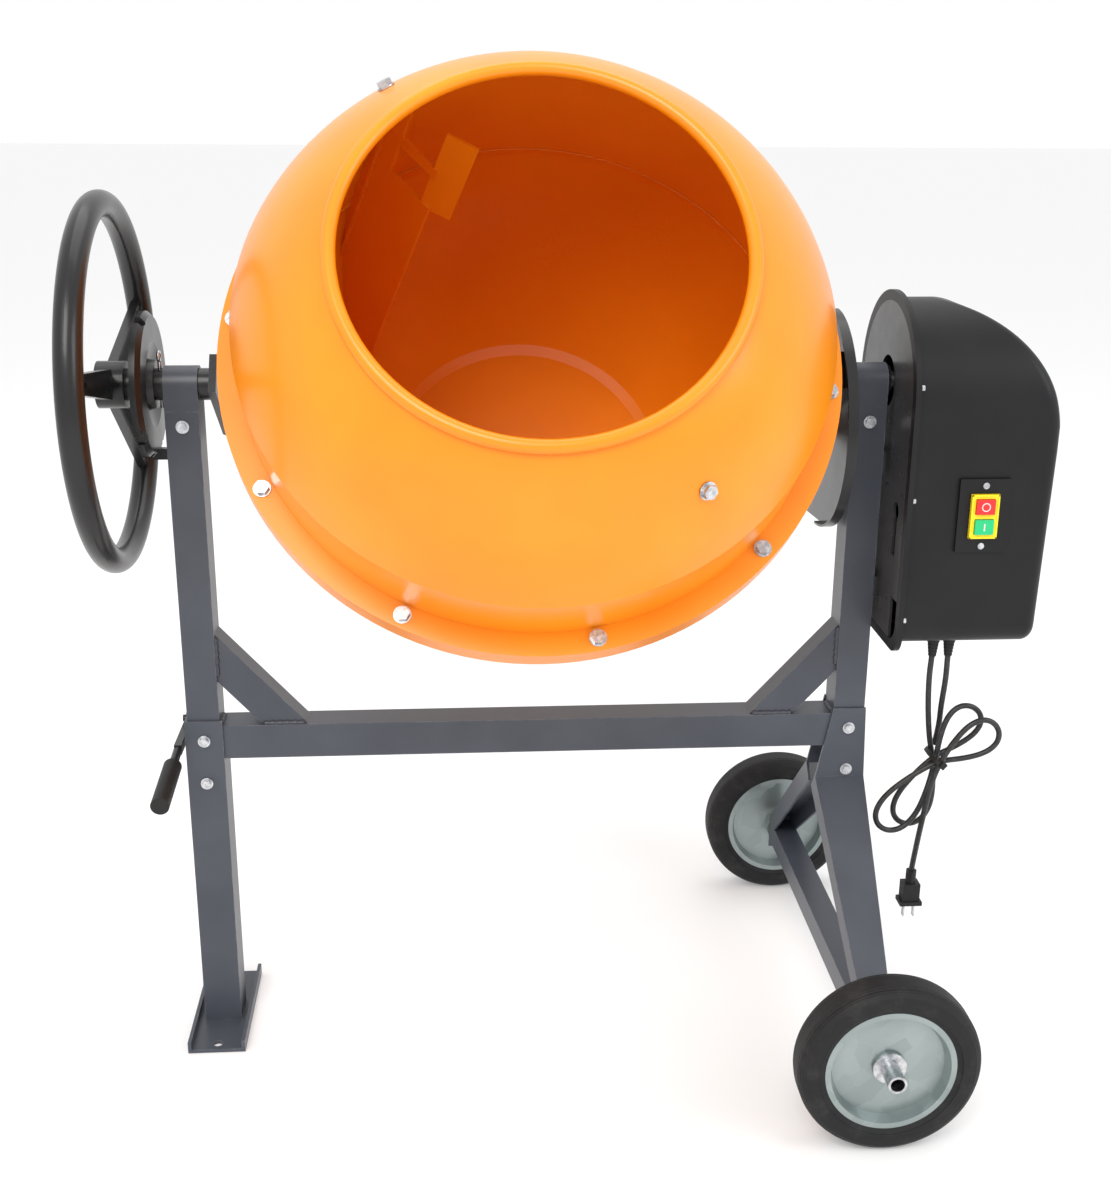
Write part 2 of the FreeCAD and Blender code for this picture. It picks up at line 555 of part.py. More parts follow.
rear_face = size("upright_depth") / 2
pedal_z = size("crossbar_height")
rod_top = size("tilt_height") - rim_height - rest_gap
guides = []
for height in (rod_top - 70, pedal_z + 90):
    guide = Part.makeBox(2 * rod_r + 12, rod_y - rear_face + rod_r + 6, 14,
                         Vector(rod_x - rod_r - 6, rear_face, height))
    guide = guide.cut(Part.makeCylinder(rod_r + 0.1, 40, Vector(rod_x, rod_y, height - 10)))
    guides.append(guide)
sub_part(shaped("lock_guides", Part.makeCompound(guides)), "lock_guides")
pedal_thick, pedal_deep = 8, 12
pedal_x = -size("upright_width") / 2 - size("sheet_wall") - 6
foot_r = 4
rod_foot_z = pedal_z + pedal_deep / 2 + foot_r + 1
lock_rod = Part.makeCylinder(rod_r, rod_top - rod_foot_z, Vector(rod_x, rod_y, rod_foot_z))
rod_head = Part.makeBox(rod_x + rod_r + size("lock_disc_place") + 5, 2 * rod_r, 12,
                        Vector(-size("lock_disc_place") - 5, rod_y - rod_r, rod_top - 12))
rod_foot = Part.makeCylinder(foot_r, rod_x - pedal_x + 4, Vector(pedal_x - 4, rod_y, rod_foot_z), Vector(1, 0, 0))
sub_part(shaped("lock_rod", lock_rod.fuse([rod_head, rod_foot])), "lock_rod")
pivot_y = rod_y + size("pedal_crank")
plate_right = rod_x - rod_r - 2
bracket = Part.makeBox(5, pivot_y - rear_face + 9, 30, Vector(plate_right - 5, rear_face, pedal_z - 24))
bracket = bracket.fuse(Part.makeCylinder(5, plate_right - pedal_x + 6, Vector(pedal_x - 6, pivot_y, pedal_z),
                                         Vector(1, 0, 0)))
sub_part(shaped("pedal_bracket", bracket.removeSplitter()), "pedal_bracket")
arm_front = -40
pedal_slope = Vector(0, -1, -0.1)
lever = Part.makeBox(pedal_thick, pivot_y - arm_front, pedal_deep,
                     Vector(pedal_x - pedal_thick / 2, arm_front, pedal_z - pedal_deep / 2))
lever = lever.fuse(Part.makeCylinder(10, pedal_thick, Vector(pedal_x - pedal_thick / 2, pivot_y, pedal_z),
                                     Vector(1, 0, 0)))
lever = lever.fuse(Part.makeCylinder(5, size("pedal_arm") - 70, Vector(pedal_x, arm_front, pedal_z), pedal_slope))
lever = lever.cut(Part.makeCylinder(5 + size("running_gap"), 60, Vector(pedal_x - 30, pivot_y, pedal_z),
                                    Vector(1, 0, 0)))
sub_part(shaped("pedal_lever", lever), "pedal_lever")
grip_start = Vector(pedal_x, arm_front - 35, pedal_z - 3.5)
grip = Part.makeCylinder(10, 84, grip_start, pedal_slope)
grip = grip.cut(Part.makeCylinder(5 + seat, 80.5, grip_start, pedal_slope))
sub_part(shaped("pedal_grip", grip), "pedal_grip")


# ---- drum: tub, cone, blades and hub, drawn in the drum's own frame ----

shell_r = size("shell_diameter") / 2
wall = size("drum_wall")
flange_z = size("flange_height")
flange_r = size("drum_diameter") / 2
mouth_r = size("mouth_diameter") / 2
mouth_z = size("mouth_height")
bottom_r = size("bottom_diameter") / 2
bottom_z = -size("bottom_depth")
spindle_room = size("spindle_diameter") / 2 + size("running_gap")


def tub_curve(inset):
    """The round lower wall of the tub, from its straight side to the edge of its bottom."""
    top = Vector(shell_r - inset, 0, -20)
    foot = Vector(bottom_r + 4 - inset, 0, bottom_z + inset)
    belly = Vector(shell_r - 36 - inset * 0.9, 0, (bottom_z - 20) / 2 + 5 + inset * 0.45)
    return Part.Arc(top, belly, foot).toShape(), top, foot


def cone_curve(inset):
    """The bulging upper wall, from the shoulder to the mouth."""
    low = Vector(shell_r - inset, 0, size("shoulder_height"))
    high = Vector(mouth_r - 7 - inset, 0, mouth_z - 8)
    middle = (low + high) * 0.5 + Vector(11, 0, 8)
    return Part.Arc(low, middle, high).toShape(), low, high


def turned(edges):
    """A solid made by turning a closed outline about the drum's axis."""
    wire = Part.Wire(Part.__sortEdges__(edges))
    return Part.makeSolid(Part.Face(wire).revolve(Vector(), Vector(0, 0, 1), 360))


def line(a, b):
    return Part.LineSegment(a, b).toShape()


outer_arc, outer_top, outer_foot = tub_curve(0)
inner_arc, inner_top, inner_foot = tub_curve(wall)
rim_low = Vector(shell_r, 0, flange_z - wall)
skirt_top = Vector(flange_r - wall, 0, flange_z - wall)
skirt_in = Vector(flange_r - wall, 0, flange_z - size("skirt_depth"))
rim_out = Vector(flange_r, 0, flange_z - size("skirt_depth"))
rim_up = Vector(flange_r, 0, flange_z)
rim_in = Vector(shell_r - wall, 0, flange_z)
dish_out = Vector(bottom_r - 11, 0, bottom_z - 6)
dish_in = Vector(bottom_r - 11, 0, bottom_z - 6 + wall)
hole_low = Vector(spindle_room, 0, bottom_z - 6)
hole_high = Vector(spindle_room, 0, bottom_z - 6 + wall)
tub = turned([outer_arc, line(outer_top, rim_low), line(rim_low, skirt_top), line(skirt_top, skirt_in),
              line(skirt_in, rim_out), line(rim_out, rim_up),
              line(rim_up, rim_in), line(rim_in, inner_top), inner_arc, line(inner_foot, dish_in),
              line(dish_in, hole_high), line(hole_high, hole_low), line(hole_low, dish_out),
              line(dish_out, outer_foot)])
sub_part(shaped("drum_tub", tub, DRUM_FRAME), "drum_tub")

cone_out, cone_low, cone_high = cone_curve(0)
cone_in, cone_low_in, cone_high_in = cone_curve(wall)
seam_in = Vector(shell_r - wall, 0, flange_z)
seam_out = Vector(flange_r, 0, flange_z)
lip_out = Vector(flange_r, 0, flange_z + wall)
lip_in = Vector(shell_r, 0, flange_z + wall)
cone = turned([line(seam_in, seam_out), line(seam_out, lip_out), line(lip_out, lip_in), line(lip_in, cone_low),
               cone_out, line(cone_high, cone_high_in), cone_in, line(cone_low_in, seam_in)])
bead = Part.makeTorus(mouth_r - 7, 7, Vector(0, 0, mouth_z - 7), Vector(0, 0, 1))
sub_part(shaped("drum_cone", cone.fuse(bead).removeSplitter(), DRUM_FRAME), "drum_cone")

axis_high = Vector(0, 0, mouth_z - 8)
axis_low = Vector(0, 0, bottom_z - 6 + wall)
# the room that a blade may fill, a hair inside the walls
near = wall + 0.15
room_arc, room_top, room_foot = tub_curve(near)
room_cone, room_low, room_high = cone_curve(near)
cavity = turned([room_arc, line(room_top, room_low), room_cone, line(room_high, axis_high),
                 line(axis_high, axis_low), line(axis_low, Vector(room_foot.x, 0, axis_low.z)),
                 line(Vector(room_foot.x, 0, axis_low.z), room_foot)])


def blade(angle):
    """A mixing paddle: a foot strip on the wall, a sloping web, and a bent tab tied back to the wall."""
    root = shell_r - wall
    thick, depth = 4, 88

    def on_wall(turn, height):
        return Vector(root * math.cos(math.radians(turn)), root * math.sin(math.radians(turn)), height)

    low, high = on_wall(angle + 15, -165), on_wall(angle - 13, 150)
    along = Vector(high - low).normalize()
    middle = (low + high) * 0.5
    inward = Vector(-middle.x, -middle.y, 0)
    inward = (inward - along * inward.dot(along)).normalize()
    across = along.cross(inward)
    length = (high - low).Length

    def slab(from_along, to_along, from_in, to_in, side, reach, lean=0):
        """A plate in blade measures: along the blade, in from the wall, and through its thickness."""
        corners = [low + along * a + inward * (i + 0) + across * side for a, i in
                   ((from_along, from_in), (to_along, from_in), (to_along, to_in), (from_along, to_in))]
        plate = Part.Face(Part.makePolygon(corners + [corners[0]])).extrude(across * reach)
        if lean:
            plate.rotate(low + inward * from_in + across * side, along, lean)
        return plate

    web = slab(-40, length - 95, -40, depth, 0, thick)
    wall_strip = slab(length - 95, length + 40, -40, 26, 0, thick)
    foot = slab(-10, length + 30, 2, 5, -thick, 52)
    tab = slab(length - 100, length - 2, depth - 12, depth + 24, 0, thick, 28)
    brace_bar = slab(length - 58, length - 48, 10, depth - 6, 0, thick)
    bridge = slab(length - 110, length - 94, 20, depth, 0, thick)
    shape = web.fuse([wall_strip, foot, tab, brace_bar, bridge])
    return max(shape.common(cavity).Solids, key=lambda solid: solid.Volume)


for number, angle in ((1, 130), (2, -50)):
    sub_part(shaped("blade_%d" % number, blade(angle), DRUM_FRAME), "blade_%d" % number)

hub_block = Part.makeCylinder(52, bottom_z - 6 - yoke_bottom - 1, Vector(0, 0, yoke_bottom + 1))
hub_block = hub_block.cut(Part.makeCylinder(spindle_room, 80, Vector(0, 0, yoke_bottom - 10)))
sub_part(shaped("drum_hub", hub_block, DRUM_FRAME), "drum_hub")
cap_z = bottom_z - 6 + wall + 0.3
spindle_cap = Part.makeCylinder(24, 3, Vector(0, 0, cap_z))
spindle_cap = spindle_cap.fuse(hexagon(30, 9).translated(Vector(0, 0, cap_z + 3)))
spindle_cap = spindle_cap.cut(Part.makeCylinder(size("spindle_diameter") / 2, 80, Vector(0, 0, yoke_bottom)))
sub_part(shaped("spindle_nuts", Part.makeCompound([under_nut, spindle_cap]), DRUM_FRAME), "spindle_nuts")

bolt_ring = flange_r - 13
flange_seats = []
for number in range(int(size("flange_bolts"))):
    angle = math.radians(-8 - 360 * number / size("flange_bolts"))
    place = Vector(bolt_ring * math.cos(angle), bolt_ring * math.sin(angle), flange_z + wall)
    flange_seats.append((place, Vector(0, 0, 1)))
side_seats = []
for angle in (-56, 124):
    # each blade's upper end is bolted through the cone, part of the way up
    spot = 0.5 * (cone_out.FirstParameter + cone_out.LastParameter)
    place, run = cone_out.valueAt(spot), cone_out.tangentAt(spot)
    out = Vector(abs(run.z), 0, abs(run.x))
    seat_turn = Rotation(Vector(0, 0, 1), angle)
    side_seats.append((seat_turn.multVec(place + out * 0.2), seat_turn.multVec(out)))
fasteners("drum_bolts", flange_seats + side_seats, "washer_diameter", "bolt_head", DRUM_FRAME)


# ---- ring gear under the flange and the pinion that turns it ----

pitch_r = size("gear_pitch_radius")
module = 2 * pitch_r / size("ring_teeth")
pinion_r = module * size("pinion_teeth") / 2
tooth_half = (math.pi * module / 2 - size("tooth_backlash")) / 2
above, below = 0.6 * module, 0.85 * module
flare = math.tan(math.radians(20))
face_in = pitch_r - size("gear_face") / 2
ring_base = pinion_r + below


def tooth(tip_half, root_half, height, width):
    """A straight tooth on the XY plane: it stands along -Z, its face runs along X."""
    corners = [Vector(0, -root_half, 0), Vector(0, root_half, 0), Vector(0, tip_half, -height),
               Vector(0, -tip_half, -height)]
    return Part.Face(Part.makePolygon(corners + [corners[0]])).extrude(Vector(width, 0, 0))


ring = Part.makeCylinder(face_in + size("gear_face") + 1, flange_z - wall - ring_base, Vector(0, 0, ring_base))
ring = ring.cut(Part.makeCylinder(shell_r + 0.5, 60, Vector(0, 0, ring_base - 10)))
ring_teeth = []
for number in range(int(size("ring_teeth"))):
    one = tooth(tooth_half - above * flare, tooth_half + below * flare, above + below, size("gear_face"))
    one.translate(Vector(face_in, 0, ring_base))
    one.rotate(Vector(), Vector(0, 0, 1), 360 * number / size("ring_teeth"))
    ring_teeth.append(one)
sub_part(shaped("ring_gear", ring.fuse(ring_teeth), DRUM_FRAME), "ring_gear")

pinion_core = pinion_r - below
pinion = Part.makeCylinder(pinion_core, size("gear_face"), Vector(face_in, 0, 0), Vector(1, 0, 0))
pinion_tooth_list = []
for number in range(int(size("pinion_teeth"))):
    one = tooth(tooth_half - above * flare, tooth_half + below * flare, above + below + 1.5, size("gear_face"))
    one.translate(Vector(face_in, 0, -pinion_core + 1.5))
    one.rotate(Vector(), Vector(1, 0, 0), 360 * (number + 0.5) / size("pinion_teeth"))
    pinion_tooth_list.append(one)
pinion = pinion.fuse(pinion_tooth_list)
pinion = pinion.cut(Part.makeCylinder(size("pinion_shaft_diameter") / 2 + seat, 60, Vector(face_in - 20, 0, 0),
                                      Vector(1, 0, 0)))
sub_part(shaped("pinion", pinion, DRUM_FRAME), "pinion")


# ---- gear guard: a shield on the outside of the right arm, its curved edge turned in over the gears ----

guard_x = size("upright_spacing") / 2 + yoke_out


def guard_outline(inset):
    """The shield's outline in the YZ plane, about the tilt axis."""
    tip, nose, foot = Vector(guard_x, 34, 74), Vector(guard_x, -84 + inset, -46), Vector(guard_x, 40, -172 + inset)
    tip = tip + Vector(0, 0, -inset)
    tail = Vector(guard_x, 150, -180 + inset)
    back = Vector(guard_x, 150, -110)
    notch = Vector(guard_x, 60, 40)
    curve = Part.Arc(tip, nose, foot).toShape()
    return [curve, line(foot, tail), line(tail, back), line(back, notch), line(notch, tip)]


guard = Part.Face(Part.Wire(guard_outline(0))).extrude(Vector(2, 0, 0))
edge_band = Part.Face(Part.Wire(guard_outline(0))).extrude(Vector(-9, 0, 0))
edge_band = edge_band.cut(Part.Face(Part.Wire(guard_outline(2.5))).extrude(Vector(-9, 0, 0)))
front_side = Part.makeBox(60, 400, 400, Vector(guard_x - 30, -360, -220))
guard = guard.fuse(edge_band.common(front_side))
guard = guard.cut(Part.makeCylinder(size("trunnion_diameter") / 2 + seat, 60, Vector(guard_x - 30, 0, 0),
                                    Vector(1, 0, 0)))
guard = max(guard.removeSplitter().Solids, key=lambda solid: solid.Volume)
sub_part(shaped("gear_guard", guard, Placement(Vector(0, 0, size("tilt_height")), Rotation())), "gear_guard")


# ---- belt drive and motor inside the housing ----

housing_x = size("upright_spacing") + size("upright_width") / 2 + 4
plate_x = housing_x + 4
pulley_x = housing_x + 36
shaft = Part.makeCylinder(size("pinion_shaft_diameter") / 2, pulley_x + 16 - TILT_CENTRE.x - face_in + 3,
                          Vector(TILT_CENTRE.x + face_in - 3, 0, 0), Vector(1, 0, 0))
AXIS_PLACE = Placement(Vector(0, 0, size("tilt_height")), Rotation())
sub_part(shaped("pinion_shaft", shaft, AXIS_PLACE), "pinion_shaft")


def pulley(radius, bore_radius, groove):
    """A grooved wheel about the X axis, as wide as the belt and its two flanges."""
    half = size("belt_width") / 2
    outline = [(bore_radius, -half - 2), (radius + 2, -half - 2), (radius + 2, -half - 0.3),
               (radius - groove, -half - 0.3), (radius - groove, half + 0.3), (radius + 2, half + 0.3),
               (radius + 2, half + 2), (bore_radius, half + 2)]
    corners = [Vector(x, 0, r) for r, x in outline]
    return Part.Face(Part.makePolygon(corners + [corners[0]])).revolve(Vector(), Vector(1, 0, 0), 360)


big_r = size("pulley_diameter") / 2
small_r = size("motor_pulley_diameter") / 2
sub_part(shaped("drive_pulley", pulley(big_r, size("pinion_shaft_diameter") / 2, 4),
                Placement(Vector(pulley_x, 0, size("tilt_height")), Rotation())), "drive_pulley")
motor_z = size("tilt_height") - size("belt_drop")
MOTOR_PLACE = Placement(Vector(pulley_x, 0, motor_z), Rotation())
motor_shaft_r = 5
motor_front = size("belt_width") / 2 + 10
rotor = Part.makeCylinder(motor_shaft_r, motor_front + 20, Vector(-size("belt_width") / 2 - 2, 0, 0),
                          Vector(1, 0, 0))
rotor = rotor.fuse(pulley(small_r, motor_shaft_r - 1, 3)).removeSplitter()
sub_part(shaped("motor_rotor", rotor, MOTOR_PLACE), "motor_rotor")
motor = Part.makeCylinder(48, 96, Vector(motor_front, 0, 0), Vector(1, 0, 0))
motor = motor.fuse(Part.makeBox(70, 60, 14, Vector(motor_front + 12, -30, -55)))
motor = motor.cut(Part.makeCylinder(motor_shaft_r + size("running_gap"), 30, Vector(motor_front - 2, 0, 0),
                                    Vector(1, 0, 0)))
sub_part(shaped("motor", motor, MOTOR_PLACE), "motor")


def belt_loop(extra, width):
    """A filled loop round both pulleys, extra larger than their grooves."""
    drop = size("belt_drop")
    big, small = big_r - 4 + extra, small_r - 3 + extra
    lean = math.asin((big - small) / drop)
    half_sweep = math.pi / 2 + lean
    corners = []
    for centre, radius, middle, sweep in ((0, big, math.pi / 2, half_sweep), (-drop, small, -math.pi / 2,
                                                                              math.pi - half_sweep)):
        for step in (-1, 0, 1):
            angle = middle + step * sweep
            corners.append(Vector(-width / 2, radius * math.cos(angle), centre + radius * math.sin(angle)))
    edges = [Part.Arc(corners[0], corners[1], corners[2]).toShape(), line(corners[2], corners[3]),
             Part.Arc(corners[3], corners[4], corners[5]).toShape(), line(corners[5], corners[0])]
    return Part.Face(Part.Wire(edges)).extrude(Vector(width, 0, 0))


belt = belt_loop(5.3, size("belt_width")).cut(belt_loop(0.3, size("belt_width")))
sub_part(shaped("drive_belt", belt, Placement(Vector(pulley_x, 0, size("tilt_height")), Rotation())), "drive_belt")


# ---- housing: back plate on the right upright and a deep moulded cover with a rolled rim ----

top_z = size("tilt_height")
foot_z = size("housing_bottom")
radius_y = size("housing_radius")
arch_z = top_z - size("arch_drop")
cover_end = size("housing_depth")


def face_outline(inset, start, depth):
    """The housing's shape seen along X: an arched top, straight sides and rounded lower corners."""
    r = radius_y - inset
    low = foot_z + inset
    corner = 22
    k = corner * (1 - math.sqrt(0.5))
    edges = [
        Part.Arc(Vector(start, r, arch_z), Vector(start, 0, arch_z + r), Vector(start, -r, arch_z)).toShape(),
        line(Vector(start, -r, arch_z), Vector(start, -r, low + corner)),
        Part.Arc(Vector(start, -r, low + corner), Vector(start, -r + k, low + k),
                 Vector(start, -r + corner, low)).toShape(),
        line(Vector(start, -r + corner, low), Vector(start, r - corner, low)),
        Part.Arc(Vector(start, r - corner, low), Vector(start, r - k, low + k),
                 Vector(start, r, low + corner)).toShape(),
        line(Vector(start, r, low + corner), Vector(start, r, arch_z)),
    ]
    return Part.Face(Part.Wire(edges)).extrude(Vector(depth, 0, 0))


def side_outline(inset):
    """The housing's shape seen along Y: the outer side rolls over into the low part of the top."""
    x0, x1 = housing_x - 1, housing_x + cover_end - inset
    z0, z1 = foot_z - 1 + inset, arch_z + radius_y - inset
    shoulder = Vector(housing_x + 30, -200, z1 + 1)
    turn = Vector(x1, -200, arch_z - 50)
    middle = Vector(housing_x + 30 + (x1 - housing_x - 30) * 0.72, -200, z1 - 42)
    edges = [line(Vector(x0, -200, z0), Vector(x0, -200, z1 + 1)), line(Vector(x0, -200, z1 + 1), shoulder),
             Part.Arc(shoulder, middle, turn).toShape(), line(turn, Vector(x1 - 6, -200, z0)),
             line(Vector(x1 - 6, -200, z0), Vector(x0, -200, z0))]
    return Part.Face(Part.Wire(edges)).extrude(Vector(0, 400, 0))


wall_h = size("housing_wall")


def softened(solid, radius):
    """Rounds every edge of the cover's outer end, away from its open side."""
    chosen = [edge for edge in solid.Edges if edge.BoundBox.XMax > housing_x + 40
              and edge.BoundBox.XMin > housing_x + 5]
    return solid.makeFillet(radius, chosen)


cover = softened(face_outline(0, housing_x, cover_end).common(side_outline(0)), 13)
hollow = softened(face_outline(wall_h, housing_x - 1, cover_end).common(side_outline(wall_h)), 13 - wall_h)
cover = cover.cut(hollow)
rolled_rim = face_outline(-8, housing_x, 6).cut(face_outline(wall_h, housing_x - 1, 8))
cord_exits = []
for x in (57, 75):
    cord_exits.append(Part.makeCylinder(7, 30, Vector(housing_x + x, -60, foot_z - 15)))
button_room = Part.makeBox(21, 30, 39, Vector(housing_x + 84 - 10.5, -radius_y - 12, top_z - 127 - 19.5))
cover = cover.fuse(rolled_rim).cut(cord_exits + [button_room])
cover = max(cover.Solids, key=lambda solid: solid.Volume)
sub_part(shaped("housing_cover", cover), "housing_cover")

back_plate = face_outline(wall_h + 0.2, housing_x, 3)
slots = [Part.makeCylinder(28, 20, Vector(housing_x - 5, 0, top_z), Vector(1, 0, 0)),
         Part.makeBox(20, 12, 44, Vector(housing_x - 5, -74, top_z - 180)),
         Part.makeBox(20, 26, 50, Vector(housing_x - 5, -100, foot_z)),
         Part.makeCylinder(10, 20, Vector(housing_x - 5, -68, top_z - 130), Vector(1, 0, 0))]
back_plate = max(back_plate.cut(slots).Solids, key=lambda solid: solid.Volume)
# two spacer bars carry the back plate on the upright, and a bracket behind it carries the motor
spacers = [Part.makeBox(housing_x - right_x - size("upright_width") / 2, 30, 24,
                        Vector(right_x + size("upright_width") / 2, -15, height))
           for height in (top_z - 100, foot_z + 30)]
sub_part(shaped("housing_back", back_plate.fuse(spacers).removeSplitter()), "housing_back")
shelf_x = housing_x + 3
shelf_end = pulley_x + motor_front + 90
shelf = Part.makeBox(shelf_end - shelf_x, 80, 3, Vector(shelf_x, -40, motor_z - 58))
shelf = shelf.fuse(Part.makeBox(3, 80, 30, Vector(shelf_x, -40, motor_z - 58)))
sub_part(shaped("motor_shelf", shelf), "motor_shelf")
screw_seats = []
for y, z in ((-104, top_z + 10), (-104, top_z - 110), (-104, foot_z + 32)):
    screw_seats.append((y, z))
rim_screws = [Part.makeCylinder(3.2, 3, Vector(housing_x + 6, y, z), Vector(1, 0, 0)) for y, z in screw_seats]


# ---- switch: a plate with a bezel and two spring-loaded buttons ----

switch_x, switch_z = housing_x + 84, top_z - 127
switch_y = -radius_y
plate = Part.makeBox(55, 4, 80, Vector(switch_x - 27.5, switch_y - 4, switch_z - 40))
bezel = Part.makeBox(30, 4, 48, Vector(switch_x - 15, switch_y - 8, switch_z - 24))
recesses = []
for z in (switch_z + 11, switch_z - 11):
    recesses.append(Part.makeBox(21, 30, 17, Vector(switch_x - 10.5, switch_y - 12, z - 8.5)))
screws = [Part.makeCylinder(3.5, 1.6, Vector(switch_x, switch_y - 4, switch_z + z), Vector(0, -1, 0))
          for z in (-33, 33)]
sub_part(shaped("switch_plate", plate.cut(recesses)), "switch_plate")
sub_part(shaped("switch_bezel", bezel.cut(recesses)), "switch_bezel")
sub_part(shaped("housing_screws", Part.makeCompound(rim_screws + screws)), "housing_screws")
for label, z in (("stop_button", switch_z + 11), ("start_button", switch_z - 11)):
    button = Part.makeBox(20, 10, 16, Vector(switch_x - 10, switch_y - 11, z - 8))
    sub_part(shaped(label, button), label)


# ---- supply cord: strain reliefs, two hanging strands, a tied hank, its tail and the plug ----

cord_r = size("cord_diameter") / 2
cord_y = -60
gland_x = (housing_x + 57, housing_x + 75)
glands = [Part.makeCylinder(7, 12, Vector(x, cord_y, foot_z - 8)) for x in gland_x]
sub_part(shaped("cord_glands", Part.makeCompound(glands)), "cord_glands")


def cord_tube(points):
    """A round cord along straight runs joined by arcs as large as the runs allow."""
    runs = [points[i + 1] - points[i] for i in range(len(points) - 1)]
    edges = []
    place = points[0]
    for i in range(1, len(points) - 1):
        before, after = Vector(runs[i - 1]).normalize(), Vector(runs[i]).normalize()
        turn = before.getAngle(after)
        trim = 0.45 * min(runs[i - 1].Length, runs[i].Length)
        radius = trim / math.tan(turn / 2)
        print("cord radius %.0f mm at point %d" % (radius, i))
        start, end = points[i] - before * trim, points[i] + after * trim
        inward = (after - before).normalize()
        centre = points[i] + inward * (radius / math.cos(turn / 2))
        middle = centre - inward * radius
        edges.append(line(place, start))
        edges.append(Part.Arc(start, middle, end).toShape())
        place = end
    edges.append(line(place, points[-1]))
    path = Part.Wire(edges)
    section = Part.Wire(Part.Circle(points[0], Vector(runs[0]).normalize(), cord_r).toShape())
    return path.makePipeShell([section], True, False)


def cord_points(*places):
    """Points of the cord in one upright plane, measured from the housing's back and the ground."""
    return [Vector(housing_x + x, cord_y + y, z) for x, y, z in places]


near_strand = cord_points((57, 0, foot_z - 8), (56, 1, 452), (59, 6, 408), (69, 13, 360))
far_strand = cord_points((75, 0, foot_z - 8), (76, 1, 450), (77, 9, 408), (77, 20, 360))
tail = cord_points((69, -13, 335), (62, -13, 296), (57, -9, 252), (53, -6, 204))
strands = {"cord_near_strand": cord_tube(near_strand), "cord_far_strand": cord_tube(far_strand),
           "cord_tail": cord_tube(tail)}
for label, strand in strands.items():
    sub_part(shaped(label, strand), label)
# the hank is the outer shape of four tied loops, each one layer of cord nearer than the last
tie = Vector(housing_x + 72, cord_y, 343)
layer = 7
loops = ((252, 92, 23, 14), (55, 74, 21.5, 7), (236, 104, 24.5, 0), (33, 78, 22, -7))
hank = Part.makeCylinder(11, 42, tie - Vector(0, 17.5, 0), Vector(0, 1, 0))
for heading, reach, half, back in loops:
    lobe_line = []
    for step in range(13):
        swing = math.pi * step / 12
        lobe_line.append(Vector((reach + cord_r) * math.sin(swing), back + cord_r,
                                (half + cord_r) * math.sin(2 * swing)))
    curve = Part.BSplineCurve()
    curve.interpolate(lobe_line)
    lobe = Part.Face(Part.Wire(curve.toShape())).extrude(Vector(0, -layer - 2 * cord_r, 0))
    lobe.rotate(Vector(), Vector(0, 1, 0), -heading)
    lobe.translate(tie)
    hank = hank.fuse(lobe)
for strand in (near_strand, far_strand, tail):
    for start, end in zip(strand, strand[1:]):
        room = Part.makeCylinder(cord_r + 0.05, (end - start).Length + 4, start - (end - start).normalize() * 2,
                                 end - start)
        hank = hank.cut(room)
hank = hank.cut(list(strands.values()))
sub_part(shaped("cord_hank", max(hank.Solids, key=lambda solid: solid.Volume)), "cord_hank")
plug_top = tail[-1]
plug = Part.makeCylinder(6, 16, plug_top - Vector(0, 0, 16.4))
plug = plug.fuse(Part.makeBox(20, 16, 22, plug_top - Vector(10, 8, 38)))
plug = plug.fuse(Part.makeBox(26, 20, 5, plug_top - Vector(13, 10, 43)))
sub_part(shaped("plug", plug.removeSplitter()), "plug")
prongs = [Part.makeBox(1.6, 6.4, 17, plug_top - Vector(0.8 - x, 3.2, 60)) for x in (-6, 6)]
sub_part(shaped("plug_prongs", Part.makeCompound(prongs)), "plug_prongs")


# ---- check every piece and write one file for each ----

doc.recompute()
for thing in doc.Objects:
    if "Invalid" in thing.State or "Error" in thing.State:
        raise RuntimeError("%s failed: %s" % (thing.Name, thing.State))
os.makedirs("parts", exist_ok=True)
for piece in sub_parts:
    if piece.Shape.isNull() or not piece.Shape.isValid():
        raise RuntimeError("%s has no valid shape" % piece.Label)
    piece.Shape.exportStep("parts/%s.step" % piece.Label)
print("%d pieces written" % len(sub_parts))
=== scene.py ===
import math
import random

import bmesh
import bpy
from mathutils import Matrix, Vector


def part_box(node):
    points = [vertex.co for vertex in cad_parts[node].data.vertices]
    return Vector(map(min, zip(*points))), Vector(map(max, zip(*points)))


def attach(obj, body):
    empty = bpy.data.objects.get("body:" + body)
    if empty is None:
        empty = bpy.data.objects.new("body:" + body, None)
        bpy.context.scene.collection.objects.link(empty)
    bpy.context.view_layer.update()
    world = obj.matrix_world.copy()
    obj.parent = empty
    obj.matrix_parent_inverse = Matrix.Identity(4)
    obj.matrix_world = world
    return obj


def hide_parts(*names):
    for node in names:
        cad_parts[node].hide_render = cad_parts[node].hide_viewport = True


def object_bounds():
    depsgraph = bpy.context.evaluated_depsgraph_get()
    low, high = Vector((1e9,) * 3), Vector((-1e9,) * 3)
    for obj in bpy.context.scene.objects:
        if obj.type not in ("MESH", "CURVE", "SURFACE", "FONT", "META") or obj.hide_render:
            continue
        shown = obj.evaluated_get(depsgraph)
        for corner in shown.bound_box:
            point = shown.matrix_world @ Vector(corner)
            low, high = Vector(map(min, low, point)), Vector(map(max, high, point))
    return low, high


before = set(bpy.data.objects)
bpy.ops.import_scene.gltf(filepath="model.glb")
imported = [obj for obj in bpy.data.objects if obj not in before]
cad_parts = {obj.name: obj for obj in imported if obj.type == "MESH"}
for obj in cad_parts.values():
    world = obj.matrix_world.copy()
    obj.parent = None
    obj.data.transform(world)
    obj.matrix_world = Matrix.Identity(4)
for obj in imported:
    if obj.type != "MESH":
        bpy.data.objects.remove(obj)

cad_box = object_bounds()


